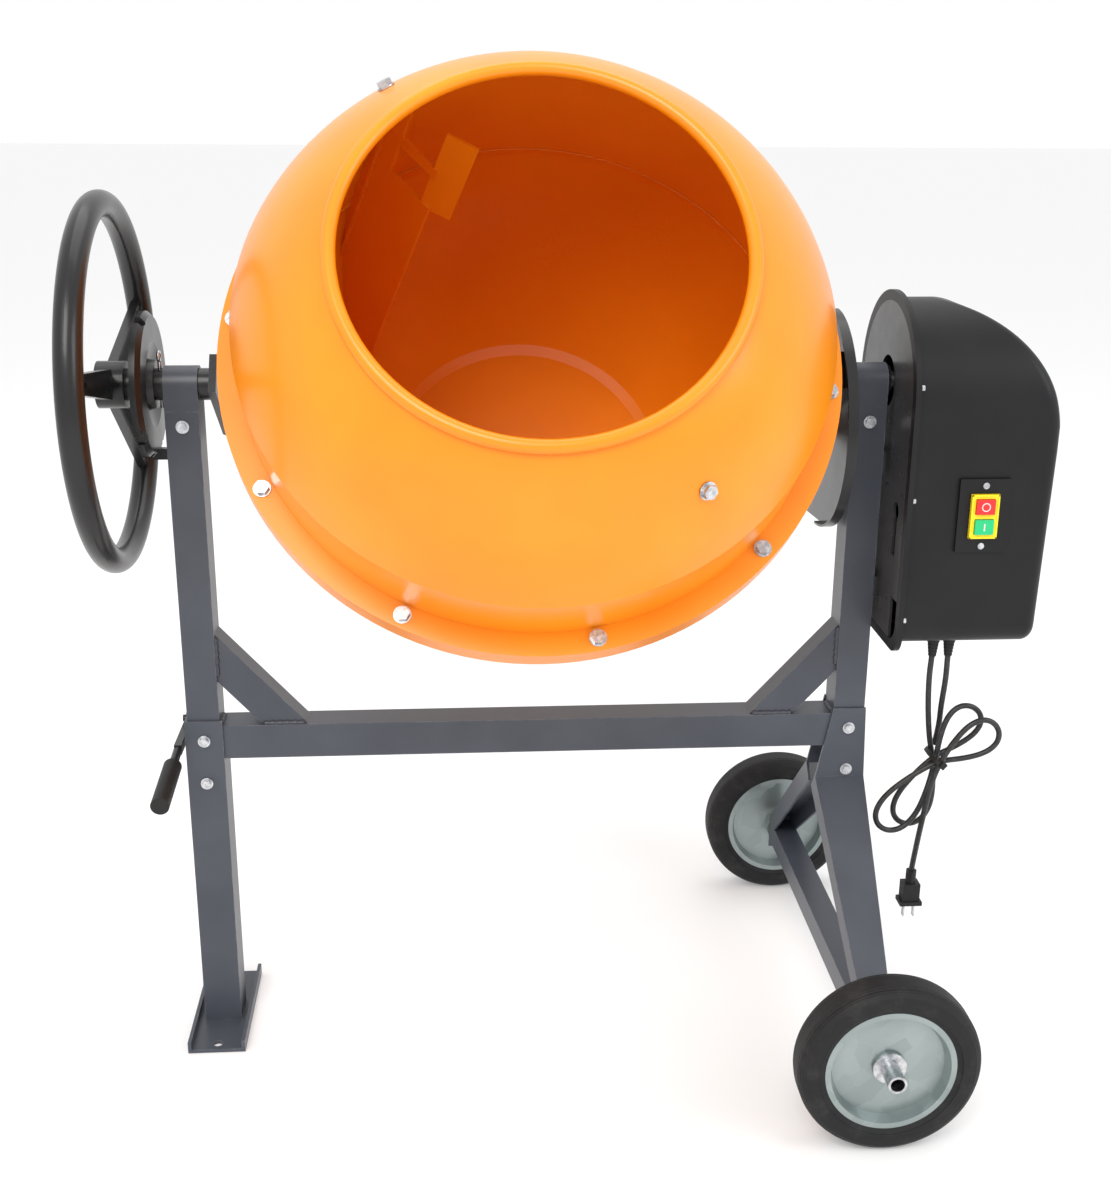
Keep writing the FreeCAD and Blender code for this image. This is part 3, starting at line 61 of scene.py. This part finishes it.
# ---------------------------------------------------------------- studio
# A pale, plain studio: one wide floor, a bright even surround, a large soft lamp above and to the
# left of the mixer, a weaker one on the right that keeps the housing readable, and one overhead.

def shape_of(node):
    """A CAD node's lowest corner, highest corner and centre."""
    low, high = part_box(node)
    return low, high, (low + high) / 2


bpy.ops.object.select_all(action="DESELECT")
bpy.ops.mesh.primitive_plane_add(size=60, location=(0.37, 8, cad_box[0][2] - 0.0005))
floor = bpy.context.object
floor.name = "studio_floor"
paper = bpy.data.materials.new("studio_paper")
paper.use_nodes = True
paper_shader = paper.node_tree.nodes["Principled BSDF"]
paper_shader.inputs["Base Color"].default_value = (0.8, 0.8, 0.8, 1)
paper_shader.inputs["Roughness"].default_value = 0.9
paper_shader.inputs["Emission Color"].default_value = (1, 1, 1, 1)
paper_shader.inputs["Emission Strength"].default_value = 0.12
floor.data.materials.append(paper)

scene = bpy.context.scene
camera_data = bpy.data.cameras.new("studio_camera")
camera = bpy.data.objects.new("studio_camera", camera_data)
scene.collection.objects.link(camera)
scene.camera = camera
foot_low, _, foot_centre = shape_of("foot_plate")
eye = Vector((foot_centre.x + 0.282, -1.628, foot_low.z + 1.058))
pitch, yaw, roll = math.radians(18.1), math.radians(4.1), math.radians(0.4)
forward = Vector((math.sin(yaw) * math.cos(pitch), math.cos(yaw) * math.cos(pitch), -math.sin(pitch)))
level_right = Vector((math.cos(yaw), -math.sin(yaw), 0))
level_up = level_right.cross(forward)
right = level_right * math.cos(roll) + level_up * math.sin(roll)
up = level_up * math.cos(roll) - level_right * math.sin(roll)
camera.matrix_world = Matrix((
    (right.x, up.x, -forward.x, eye.x),
    (right.y, up.y, -forward.y, eye.y),
    (right.z, up.z, -forward.z, eye.z),
    (0, 0, 0, 1)))
camera_data.lens = 45.7
camera_data.clip_end = 80


def soft_lamp(name, place, target, wide, power, tint):
    """A square area lamp that looks at a point."""
    data = bpy.data.lights.new(name, "AREA")
    data.size = wide
    data.energy = power
    data.color = tint
    lamp = bpy.data.objects.new(name, data)
    scene.collection.objects.link(lamp)
    lamp.location = place
    lamp.rotation_euler = (Vector(target) - Vector(place)).to_track_quat("-Z", "Y").to_euler()


soft_lamp("key_lamp", (-0.5, -2.6, 3.0), (0.37, 0, 0.7), 1.8, 70, (1, 0.98, 0.95))
soft_lamp("side_lamp", (2.9, -1.6, 2.0), (0.6, 0, 0.6), 1.6, 26, (0.95, 0.98, 1))
soft_lamp("top_lamp", (0.4, 0.8, 3.4), (0.37, 0, 0.7), 2.4, 26, (1, 1, 1))
world = bpy.data.worlds.new("bright_surround")
world.use_nodes = True
world.node_tree.nodes["Background"].inputs["Color"].default_value = (1, 1, 1, 1)
world.node_tree.nodes["Background"].inputs["Strength"].default_value = 1.0
scene.world = world
scene.view_settings.view_transform = "Standard"


# ---------------------------------------------------------------- finishes
# The shader class below turns sums and products of node sockets into nodes, so that a finish
# reads as a few lines: where it wears, how it ripples and how its colour drifts.

class Mark:
    """One socket of a material, with arithmetic."""

    def __init__(self, shop, socket):
        self.shop = shop
        self.socket = socket

    def _with(self, operation, first, second):
        return self.shop.add("ShaderNodeMath", {"operation": operation}, [first, second])

    def __add__(self, other):
        return self._with("ADD", self, other)

    def __radd__(self, other):
        return self._with("ADD", other, self)

    def __sub__(self, other):
        return self._with("SUBTRACT", self, other)

    def __rsub__(self, other):
        return self._with("SUBTRACT", other, self)

    def __mul__(self, other):
        return self._with("MULTIPLY", self, other)

    def __rmul__(self, other):
        return self._with("MULTIPLY", other, self)

    def clip(self, low, high):
        """0 below low, 1 above high and smooth between."""
        return self.shop.add("ShaderNodeMapRange", {"interpolation_type": "SMOOTHSTEP"},
                             [self, low, high, 0.0, 1.0])


class Finish:
    """One material: a Principled shader and the nodes that feed it."""

    def __init__(self, name, colour, **constants):
        self.material = bpy.data.materials.new(name)
        self.material.use_nodes = True
        self.tree = self.material.node_tree
        self.shader = self.tree.nodes["Principled BSDF"]
        self.shader.inputs["Base Color"].default_value = (*colour, 1)
        for key, value in constants.items():
            self.shader.inputs[key.replace("_", " ")].default_value = value
        self.place = self.add("ShaderNodeTexCoord", {}, [], "Object")

    def add(self, kind, settings, values, output=0):
        """One node of a kind, its settings first, then what goes into its sockets."""
        node = self.tree.nodes.new(kind)
        for key, value in settings.items():
            setattr(node, key, value)
        pairs = values.items() if isinstance(values, dict) else enumerate(values)
        for key, value in pairs:
            if isinstance(value, Mark):
                self.tree.links.new(value.socket, node.inputs[key])
            else:
                node.inputs[key].default_value = value
        return Mark(self, node.outputs[output])

    def noise(self, scale, detail=3.0, rough=0.5):
        """Cloudy variation, scale in cells to the metre."""
        return self.add("ShaderNodeTexNoise", {},
                        {"Vector": self.place, "Scale": scale, "Detail": detail, "Roughness": rough})

    def axis(self, letter):
        """The height, width or depth of a point, in metres."""
        return self.add("ShaderNodeSeparateXYZ", {}, [self.place], letter)

    def edge(self, reach):
        """Near 1 on corners and close to 0 on open faces."""
        normal = self.add("ShaderNodeBevel", {"samples": 4}, {"Radius": reach})
        flat = self.add("ShaderNodeNewGeometry", {}, [], "Normal")
        alike = self.add("ShaderNodeVectorMath", {"operation": "DOT_PRODUCT"}, [normal, flat], "Value")
        return (1.0 - alike).clip(0.02, 0.25)

    def blend(self, share, first, second):
        """A colour between two colours."""
        def ready(value):
            return value if isinstance(value, Mark) else (*value, 1)
        return self.add("ShaderNodeMix", {"data_type": "RGBA"},
                        {0: share, 6: ready(first), 7: ready(second)}, 2)

    def feed(self, name, value):
        """Links a mark to one of the shader's inputs."""
        self.tree.links.new(value.socket, self.shader.inputs[name])

    def ripple(self, height, strength, distance):
        """Bumps the surface by a height map."""
        self.feed("Normal", self.add("ShaderNodeBump", {},
                                     {"Strength": strength, "Distance": distance, "Height": height}))


def dress(finish, *names):
    """Gives CAD nodes a finish by filling their material slots."""
    for name in names:
        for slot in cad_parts[name].material_slots:
            slot.material = finish.material


# ---------------------------------------------------------------- stand
# Rectangular steel tube and folded sheet, welded and bolted, under satin slate enamel. The coat is
# a little uneven and it is worn through to a paler undercoat on corners.

slate = Finish("slate_enamel", (0.05, 0.056, 0.072), Roughness=0.36, Specular_IOR_Level=0.4, Coat_Weight=0.12,
               Coat_Roughness=0.25)
cloud = slate.noise(9, 4)
grain = slate.noise(700, 2)
worn = slate.edge(0.0022) * slate.noise(60, 5, 0.7).clip(0.42, 0.62)
shade = slate.blend(cloud.clip(0.3, 0.75), (0.042, 0.048, 0.063), (0.060, 0.068, 0.086))
slate.feed("Base Color", slate.blend(worn * 0.55, shade, (0.22, 0.23, 0.25)))
slate.feed("Roughness", 0.3 + 0.14 * cloud + 0.06 * grain)
slate.ripple(grain * 0.5 + slate.noise(120, 3), 0.12, 0.0006)
dress(slate, "uprights", "bearings", "crossbar", "braces", "standing_leg", "foot_plate", "wheel_legs",
      "axle_beam", "lock_guides", "pedal_bracket")


# ---------------------------------------------------------------- weld beads
# The crossbar and the braces are joined by fillet welds, laid by hand as a row of small overlapping
# ripples and painted over with the frame.

BEAD_RADIUS = 0.0034
RIPPLE_PITCH = 0.0028
BEAD_SIDES = 8
CORNER_GAP = 0.003   # a bead stops this short of a corner
BRACE_RUN = 0.048    # from a brace's foot to the upright, and the length of the weld at that foot
HEAD_RUN = 0.05      # a weld at a brace's head ends this far below its top


def weld(name, start, end, body, finish):
    """A bead from one point to another: a bar whose skin swells and thins with every ripple."""
    along = Vector(end) - Vector(start)
    rings = max(4, int(along.length / RIPPLE_PITCH))
    turn = along.to_track_quat("Z", "Y").to_matrix()
    shape = bmesh.new()
    luck = random.Random(name)
    loops = []
    for number in range(rings + 1):
        swell = BEAD_RADIUS * (1.0 + 0.22 * math.sin(number * 2.1) + 0.1 * luck.random())
        if number in (0, rings):
            swell *= 0.35
        middle = Vector(start) + along * number / rings
        angles = [i * math.tau / BEAD_SIDES for i in range(BEAD_SIDES)]
        loops.append([shape.verts.new(middle + turn @ Vector((swell * math.cos(a), swell * math.sin(a), 0)))
                      for a in angles])
    for low, high in zip(loops, loops[1:]):
        for i in range(BEAD_SIDES):
            after = (i + 1) % BEAD_SIDES
            shape.faces.new((low[i], low[after], high[after], high[i]))
    shape.faces.new(list(reversed(loops[0])))
    shape.faces.new(loops[-1])
    mesh = bpy.data.meshes.new(name)
    bmesh.ops.recalc_face_normals(shape, faces=shape.faces)
    shape.to_mesh(mesh)
    shape.free()
    mesh.shade_smooth()
    piece = bpy.data.objects.new(name, mesh)
    scene.collection.objects.link(piece)
    piece.data.materials.append(finish.material)
    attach(piece, body)


bar_low, bar_high, _ = shape_of("crossbar")
for side, x in (("left", bar_low.x), ("right", bar_high.x)):
    for level, z in (("upper", bar_high.z), ("lower", bar_low.z)):
        weld("weld_%s_%s" % (side, level), (x, bar_low.y + CORNER_GAP, z), (x, bar_high.y - CORNER_GAP, z),
             "stand", slate)
brace_low, brace_high, _ = shape_of("braces")
brace_y = brace_low.y
for side, x, foot_x in (("left", bar_low.x, bar_low.x + BRACE_RUN),
                        ("right", bar_high.x, bar_high.x - BRACE_RUN)):
    reach = math.copysign(BRACE_RUN, foot_x - x)
    weld("brace_weld_%s_foot" % side, (foot_x, brace_y, bar_high.z), (foot_x + reach, brace_y, bar_high.z),
         "stand", slate)
    weld("brace_weld_%s_head" % side, (x, brace_y, brace_high.z - CORNER_GAP),
         (x, brace_y, brace_high.z - HEAD_RUN), "stand", slate)


# ---------------------------------------------------------------- bolts, nuts, axle and shafts
# Bright zinc plate: hexagon heads on round washers, the axle, the drum's spindle and nuts, the
# pinion's shaft, the split pin, the screws and the plug's prongs. The plate is clouded.

zinc = Finish("bright_zinc", (0.72, 0.74, 0.78), Metallic=1.0, Roughness=0.26)
haze = zinc.noise(180, 4)
zinc.feed("Base Color", zinc.blend(haze.clip(0.35, 0.7), (0.42, 0.43, 0.45), (0.66, 0.67, 0.69)))
zinc.feed("Roughness", 0.18 + 0.24 * haze)
zinc.ripple(zinc.noise(900, 2), 0.08, 0.0003)
dress(zinc, "axle", "axle_washers", "stand_bolts", "drum_bolts", "spindle_nuts", "drum_spindle", "split_pin",
      "pinion_shaft", "housing_screws", "plug_prongs")


# ---------------------------------------------------------------- wheels
# Solid rubber tyres, with fine ribs on the tread and a ring on the side wall that are bumped in the
# finish. They sit on pressed discs of hot-dip galvanised steel with soft grey-green spangle.

RIB_RADIANS = 2094.0  # to the metre: one rib every 3 mm

tyre_rubber = Finish("tyre_rubber", (0.012, 0.012, 0.013), Roughness=0.62, Specular_IOR_Level=0.3)
scuff = tyre_rubber.noise(40, 5, 0.65)
tyre_rubber.feed("Base Color", tyre_rubber.blend(scuff.clip(0.45, 0.8), (0.009, 0.009, 0.010),
                                                 (0.028, 0.027, 0.027)))
tyre_rubber.feed("Roughness", 0.5 + 0.25 * scuff)
wheel_centre = shape_of("front_tyre")[2]
depth = tyre_rubber.add("ShaderNodeMath", {"operation": "ABSOLUTE"}, [tyre_rubber.axis("Y")])
across = depth - abs(wheel_centre.y)
offset = tyre_rubber.add("ShaderNodeMath", {"operation": "ABSOLUTE"}, [across])
place_x = tyre_rubber.axis("X") - wheel_centre.x
place_z = tyre_rubber.axis("Z") - wheel_centre.z
radius = tyre_rubber.add("ShaderNodeMath", {"operation": "SQRT"}, [place_x * place_x + place_z * place_z])
ribs = tyre_rubber.add("ShaderNodeMath", {"operation": "SINE"}, [offset * RIB_RADIANS])
shoulder = offset.clip(0.0085, 0.0095) * (1.0 - offset.clip(0.0175, 0.0185))
rim_line = radius.clip(0.0745, 0.0755) * (1.0 - radius.clip(0.0765, 0.0775))
tyre_rubber.ripple(ribs * shoulder * 0.5 + rim_line + tyre_rubber.noise(500, 3) * 0.1, 0.8, 0.0011)
dress(tyre_rubber, "front_tyre", "rear_tyre")

galvanised = Finish("galvanised_steel", (0.30, 0.35, 0.35), Metallic=0.7, Roughness=0.38)
spangle = galvanised.add("ShaderNodeTexVoronoi", {"feature": "F1"},
                         {"Vector": galvanised.place, "Scale": 46.0}, "Color")
patch = galvanised.add("ShaderNodeSeparateXYZ", {}, [spangle], "X")
drift = galvanised.noise(14, 3)
galvanised.feed("Base Color", galvanised.blend(patch * 0.35 + drift * 0.65, (0.20, 0.245, 0.245),
                                               (0.40, 0.455, 0.45)))
galvanised.feed("Roughness", 0.28 + 0.22 * patch)
galvanised.ripple(drift, 0.1, 0.002)
dress(galvanised, "front_wheel_disc", "rear_wheel_disc")


# ---------------------------------------------------------------- black enamelled controls
# Handwheel, lock disc and rod, pedal lever, yoke, trunnions, drum hub and gear guard are steel in
# stoved black enamel: semi-gloss, with orange-peel ripple and rubbed corners.

stove = Finish("black_enamel", (0.009, 0.009, 0.010), Roughness=0.28, Specular_IOR_Level=0.35, Coat_Weight=0.15,
               Coat_Roughness=0.15)
peel = stove.noise(260, 2)
rubbed = stove.edge(0.0016) * stove.noise(50, 5, 0.7).clip(0.45, 0.65)
stove.feed("Base Color", stove.blend(rubbed * 0.5, (0.008, 0.008, 0.009), (0.07, 0.07, 0.07)))
stove.feed("Roughness", 0.22 + 0.16 * stove.noise(20, 4))
stove.ripple(peel, 0.1, 0.0006)
dress(stove, "handwheel_rim", "handwheel_spokes", "lock_disc", "lock_rod", "pedal_lever", "yoke_arms",
      "yoke_struts", "yoke_base", "gear_guard", "drum_hub", "trunnions")


# ---------------------------------------------------------------- soft black rubber
# The pedal grip, plug, cord glands and belt are moulded rubber, matt with a fine skin. The hank's
# CAD shape is dressed too, though the supply cord replaces it in the visual model.

soft_rubber = Finish("soft_rubber", (0.010, 0.010, 0.010), Roughness=0.5, Specular_IOR_Level=0.3)
skin = soft_rubber.noise(900, 3)
soft_rubber.feed("Base Color", soft_rubber.blend(soft_rubber.noise(30, 4), (0.007, 0.007, 0.007),
                                                 (0.018, 0.018, 0.018)))
soft_rubber.feed("Roughness", 0.42 + 0.2 * skin)
soft_rubber.ripple(skin, 0.12, 0.0003)
dress(soft_rubber, "pedal_grip", "plug", "cord_glands", "drive_belt", "cord_hank")


# ---------------------------------------------------------------- supply cord
# Round black rubber cord. It leaves the housing's bottom, is folded into four loops held by a cable
# tie, and hangs down to its moulded two-prong plug. A second lead is caught in the same tie.

CORD = 0.0065
LAYER = 0.007          # from one loop of the hank to the next
LOOP_STEPS = 9         # control points in a loop
GLAND_RADIUS = 0.007
NEAR_X = 0.057         # the supply cord's strain relief, from the housing's back
FAR_X = 0.075          # the second lead's
gland_low, _, gland_centre = shape_of("cord_glands")
back_x = gland_low.x + GLAND_RADIUS - NEAR_X
lead_y = gland_centre.y
tie = Vector((back_x + 0.072, lead_y, 0.343))


def lead_points(*places):
    """Cord points measured from the housing's back and the ground."""
    return [Vector((back_x + x, lead_y + y, z)) for x, y, z in places]


def lead(name, points):
    """A round cord as a smooth curve through its control points."""
    data = bpy.data.curves.new(name, "CURVE")
    data.dimensions = "3D"
    data.bevel_depth = CORD / 2
    data.bevel_resolution = 5
    data.resolution_u = 8
    data.use_fill_caps = True
    spline = data.splines.new("NURBS")
    spline.points.add(len(points) - 1)
    for point, place in zip(spline.points, points):
        point.co = (*place, 1)
    spline.order_u = 3
    spline.use_endpoint_u = True
    piece = bpy.data.objects.new(name, data)
    scene.collection.objects.link(piece)
    return piece


def lead_length(piece):
    """The length of a curve's own line."""
    bare = piece.data.copy()
    bare.bevel_depth = 0
    probe = bpy.data.objects.new("probe", bare)
    line = bpy.data.meshes.new_from_object(probe)
    places = [vertex.co.copy() for vertex in line.vertices]
    bpy.data.objects.remove(probe)
    bpy.data.curves.remove(bare)
    bpy.data.meshes.remove(line)
    return sum((b - a).length for a, b in zip(places, places[1:]))


def turned_piece(name, foot, rings, sides=40):
    """A solid of revolution about an upright line, drawn from rings of (radius, height)."""
    bpy.ops.object.select_all(action="DESELECT")
    bpy.ops.mesh.primitive_circle_add(vertices=sides, radius=rings[0][0], fill_type="NGON",
                                      location=foot + Vector((0, 0, rings[0][1])))
    piece = bpy.context.object
    piece.name = name
    bpy.ops.object.transform_apply(location=True, rotation=True, scale=True)
    bpy.ops.object.mode_set(mode="EDIT")
    bpy.ops.mesh.select_all(action="SELECT")
    for (radius, height), (next_radius, next_height) in zip(rings, rings[1:]):
        bpy.ops.mesh.extrude_region_move(TRANSFORM_OT_translate={"value": (0, 0, next_height - height)})
        grow = next_radius / radius
        bpy.ops.transform.resize(value=(grow, grow, 1), center_override=foot + Vector((0, 0, next_height)))
    bpy.ops.mesh.select_all(action="SELECT")
    bpy.ops.mesh.normals_make_consistent(inside=False)
    bpy.ops.object.mode_set(mode="OBJECT")
    bpy.ops.object.shade_smooth_by_angle(angle=math.radians(35))
    return piece


cord_rubber = Finish("cord_rubber", (0.014, 0.014, 0.015), Roughness=0.4)
rubbing = cord_rubber.noise(220, 4)
cord_rubber.feed("Base Color", cord_rubber.blend(rubbing.clip(0.4, 0.75), (0.010, 0.010, 0.011),
                                                 (0.026, 0.026, 0.027)))
cord_rubber.feed("Roughness", 0.32 + 0.18 * rubbing)
cord_rubber.ripple(cord_rubber.noise(1300, 2), 0.1, 0.0002)

# heading, reach and half width of each loop, and how far behind the tie it starts
line_points = lead_points((NEAR_X, 0, gland_low.z), (NEAR_X, 0, 0.470), (0.056, 0.001, 0.446),
                          (0.059, 0.005, 0.408), (0.066, 0.012, 0.366))
for heading, reach, half, back in ((252, 0.092, 0.023, 0.014), (55, 0.074, 0.0215, 0.007),
                                   (236, 0.104, 0.0245, 0), (33, 0.078, 0.022, -0.007)):
    along = Vector((math.cos(math.radians(heading)), 0, math.sin(math.radians(heading))))
    aside = Vector((-along.z, 0, along.x)) * (1 if heading > 180 else -1)
    for step in range(LOOP_STEPS):
        swing = math.pi * step / LOOP_STEPS
        line_points.append(tie + along * reach * math.sin(swing) + aside * half * math.sin(2 * swing)
                           + Vector((0, back - LAYER * step / LOOP_STEPS, 0)))
line_points.append(tie + Vector((0, -0.014, 0)))
line_points += lead_points((0.064, -0.0135, 0.316), (0.060, -0.012, 0.282), (0.056, -0.008, 0.240),
                           (0.053, -0.006, 0.204))
supply = lead("supply_cord", line_points)
supply.data.materials.append(cord_rubber.material)
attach(supply, "stand")
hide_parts("cord_near_strand", "cord_hank", "cord_tail")

second = lead("second_lead", lead_points((FAR_X, 0, gland_low.z), (FAR_X, 0, 0.466), (0.076, 0.002, 0.440),
                                         (0.076, 0.010, 0.404), (0.079, 0.019, 0.374), (0.076, 0.021, 0.352)))
second.data.materials.append(cord_rubber.material)
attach(second, "stand")
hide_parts("cord_far_strand")

# the tie: a flat band drawn round the bundle, with its ratchet head at the front
tie_turn = (0, math.radians(40), 0)
bpy.ops.object.select_all(action="DESELECT")
bpy.ops.mesh.primitive_cylinder_add(vertices=48, radius=0.5, depth=0.005, end_fill_type="NOTHING",
                                    rotation=tie_turn, scale=(0.021, 0.044, 1),
                                    location=tie + Vector((0, 0.0035, 0)))
band = bpy.context.object
band.name = "cable_tie"
bpy.ops.object.transform_apply(location=True, rotation=True, scale=True)
solidify = band.modifiers.new("strap", "SOLIDIFY")
solidify.thickness = 0.0013
solidify.offset = 1
bpy.ops.object.modifier_apply(modifier="strap")
bpy.ops.object.select_all(action="DESELECT")
bpy.ops.mesh.primitive_cube_add(size=1, rotation=tie_turn, scale=(0.007, 0.005, 0.008),
                                location=tie + Vector((0.002, -0.0205, 0)))
ratchet = bpy.context.object
ratchet.name = "cable_tie_head"
bpy.ops.object.transform_apply(location=True, rotation=True, scale=True)
bpy.ops.object.mode_set(mode="EDIT")
bpy.ops.mesh.select_all(action="SELECT")
bpy.ops.mesh.bevel(offset=0.0009, segments=2, affect="EDGES")
bpy.ops.object.mode_set(mode="OBJECT")
for piece in (band, ratchet):
    piece.data.materials.append(soft_rubber.material)
    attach(piece, "stand")

# the strain reliefs: ribbed rubber tapers that grip each cord for its first 30 mm
for name, x in (("strain_relief_near", NEAR_X), ("strain_relief_far", FAR_X)):
    foot = Vector((back_x + x, lead_y, gland_low.z + 0.012))
    rings = [(0.0085, 0), (0.0088, -0.004), (0.0088, -0.009), (0.0066, -0.0105)]
    for rib in range(5):
        level, width = -0.0115 - 0.0038 * rib, 0.0064 - 0.00045 * rib
        waist = width - 0.0008
        rings += [(width, level), (width, level - 0.0022), (waist, level - 0.0026), (waist, level - 0.0034)]
    relief = turned_piece(name, foot, rings)
    relief.data.materials.append(soft_rubber.material)
    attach(relief, "stand")

round(lead_length(supply), 4)
round(lead_length(second), 4)


# ---------------------------------------------------------------- drum
# Two spun steel shells bolted where the cone laps over the tub, with two mixing blades. Outside and
# in they carry glossy orange enamel, a little uneven in colour and gloss.

orange = Finish("orange_enamel", (0.88, 0.26, 0.004), Roughness=0.3, Specular_IOR_Level=0.4, Coat_Weight=0.12,
                Coat_Roughness=0.16)
sag = orange.noise(5, 3)
fleck = orange.noise(420, 2)
orange.feed("Base Color", orange.blend(sag.clip(0.3, 0.75), (0.84, 0.235, 0.003), (0.92, 0.285, 0.006)))
orange.feed("Roughness", 0.22 + 0.12 * sag + 0.05 * fleck)
orange.ripple(orange.noise(160, 2) * 0.7 + fleck * 0.2, 0.06, 0.0008)
dress(orange, "drum_tub", "drum_cone", "blade_1", "blade_2")

# the rolled seam inside, where the cone's edge laps over the tub's
DRUM_LEAN = 54
drum_centre = Vector((shape_of("drum_spindle")[2].x, 0, shape_of("handwheel_rim")[2].z))
drum_turn = Matrix.Rotation(math.radians(DRUM_LEAN), 4, "X")


def drum_ring(name, radius, height, thick, high):
    """A ring of bar about the drum's axis: round, then flattened along that axis."""
    bpy.ops.object.select_all(action="DESELECT")
    bpy.ops.mesh.primitive_torus_add(major_segments=160, minor_segments=12, major_radius=radius,
                                     minor_radius=thick, location=(0, 0, 0))
    ring = bpy.context.object
    ring.name = name
    bpy.ops.transform.resize(value=(1, 1, high / thick), center_override=(0, 0, 0))
    bpy.ops.object.transform_apply(location=True, rotation=True, scale=True)
    ring.data.transform(Matrix.Translation(drum_centre) @ drum_turn @ Matrix.Translation((0, 0, height)))
    bpy.ops.object.shade_smooth()
    ring.data.materials.append(orange.material)
    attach(ring, "drum")


drum_ring("inner_seam", 0.2975, -0.008, 0.0012, 0.0022)


# ---------------------------------------------------------------- gears and pulleys
# Grey cast iron, sand-cast skin with oil on it.

iron = Finish("cast_iron", (0.05, 0.05, 0.05), Metallic=0.7, Roughness=0.55)
iron.feed("Base Color", iron.blend(iron.noise(90, 5), (0.025, 0.025, 0.026), (0.11, 0.108, 0.10)))
iron.ripple(iron.noise(350, 4), 0.3, 0.0008)
dress(iron, "ring_gear", "pinion", "drive_pulley", "motor_rotor")


# ---------------------------------------------------------------- drive housing
# A deep injection-moulded cover in fine-textured black plastic, screwed to a grey steel back plate
# that also carries the motor.

moulded = Finish("black_moulding", (0.007, 0.007, 0.008), Roughness=0.42, Specular_IOR_Level=0.28)
pebble = moulded.noise(1100, 2)
moulded.feed("Base Color", moulded.blend(moulded.noise(8, 4).clip(0.3, 0.8), (0.005, 0.005, 0.006),
                                         (0.010, 0.010, 0.011)))
moulded.feed("Roughness", 0.36 + 0.14 * pebble)
moulded.ripple(pebble, 0.14, 0.0004)
dress(moulded, "housing_cover", "switch_plate")

plate_steel = Finish("plate_steel", (0.05, 0.052, 0.055), Roughness=0.3, Metallic=0.5)
plate_steel.feed("Base Color", plate_steel.blend(plate_steel.noise(30, 4), (0.035, 0.036, 0.038),
                                                 (0.075, 0.077, 0.08)))
plate_steel.feed("Roughness", 0.22 + 0.16 * plate_steel.noise(60, 3))
dress(plate_steel, "housing_back", "motor_shelf", "motor")


# ---------------------------------------------------------------- switch
# A black plate with a yellow bezel and two moulded buttons: red to stop, green to start.

plastics = {}
for node, colour in (("switch_bezel", (0.90, 0.68, 0.01)), ("stop_button", (0.72, 0.02, 0.02)),
                     ("start_button", (0.01, 0.50, 0.18))):
    gloss = plastics[node] = Finish(node + "_plastic", colour, Roughness=0.3)
    gloss.feed("Roughness", 0.24 + 0.18 * gloss.noise(300, 3))
    gloss.ripple(gloss.noise(900, 2), 0.05, 0.0003)
    dress(gloss, node)

# moulded marks on the buttons: a ring for stop and an upright bar for start, and a raised lip round the bezel
LIP = 0.002
stop_low, _, stop_centre = shape_of("stop_button")
start_low, _, start_centre = shape_of("start_button")
bezel_low, bezel_high, bezel_centre = shape_of("switch_bezel")
pale_mark = Finish("moulded_mark", (0.75, 0.62, 0.60), Roughness=0.35)
pale_mark.feed("Roughness", 0.3 + 0.15 * pale_mark.noise(400, 2))


def mould(name, body, slot, finish, centre, kind, **shape):
    """A small moulded detail on the switch's face, standing a little proud of it."""
    bpy.ops.object.select_all(action="DESELECT")
    if kind == "ring":
        bpy.ops.mesh.primitive_torus_add(major_segments=48, minor_segments=10, location=centre,
                                         rotation=(math.radians(90), 0, 0), **shape)
        detail = bpy.context.object
        bpy.ops.object.transform_apply(location=True, rotation=True, scale=True)
        bpy.ops.object.shade_smooth()
    else:
        bpy.ops.mesh.primitive_cube_add(size=1, location=centre, **shape)
        detail = bpy.context.object
        bpy.ops.object.transform_apply(location=True, rotation=True, scale=True)
        bpy.ops.object.mode_set(mode="EDIT")
        bpy.ops.mesh.select_all(action="SELECT")
        bpy.ops.mesh.bevel(offset=0.0003, segments=2, affect="EDGES")
        bpy.ops.object.mode_set(mode="OBJECT")
    detail.name = name
    detail.data.materials.append(finish.material)
    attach(detail, body)


mould("stop_mark", "stop", "red_plastic", pale_mark, (stop_centre.x, stop_low.y, stop_centre.z), "ring",
      major_radius=0.0042, minor_radius=0.00065)
mould("start_mark", "start", "green_plastic", pale_mark, (start_centre.x, start_low.y, start_centre.z), "bar",
      scale=(0.0016, 0.0008, 0.008))
bezel_wide, bezel_tall = bezel_high.x - bezel_low.x, bezel_high.z - bezel_low.z
for edge, x, z, wide, tall in (("left", bezel_low.x + LIP / 2, bezel_centre.z, LIP, bezel_tall),
                               ("right", bezel_high.x - LIP / 2, bezel_centre.z, LIP, bezel_tall),
                               ("top", bezel_centre.x, bezel_high.z - LIP / 2, bezel_wide, LIP),
                               ("bottom", bezel_centre.x, bezel_low.z + LIP / 2, bezel_wide, LIP)):
    mould("bezel_lip_" + edge, "stand", "yellow_plastic", plastics["switch_bezel"], (x, bezel_low.y, z),
          "bar", scale=(wide, 0.0016, tall))
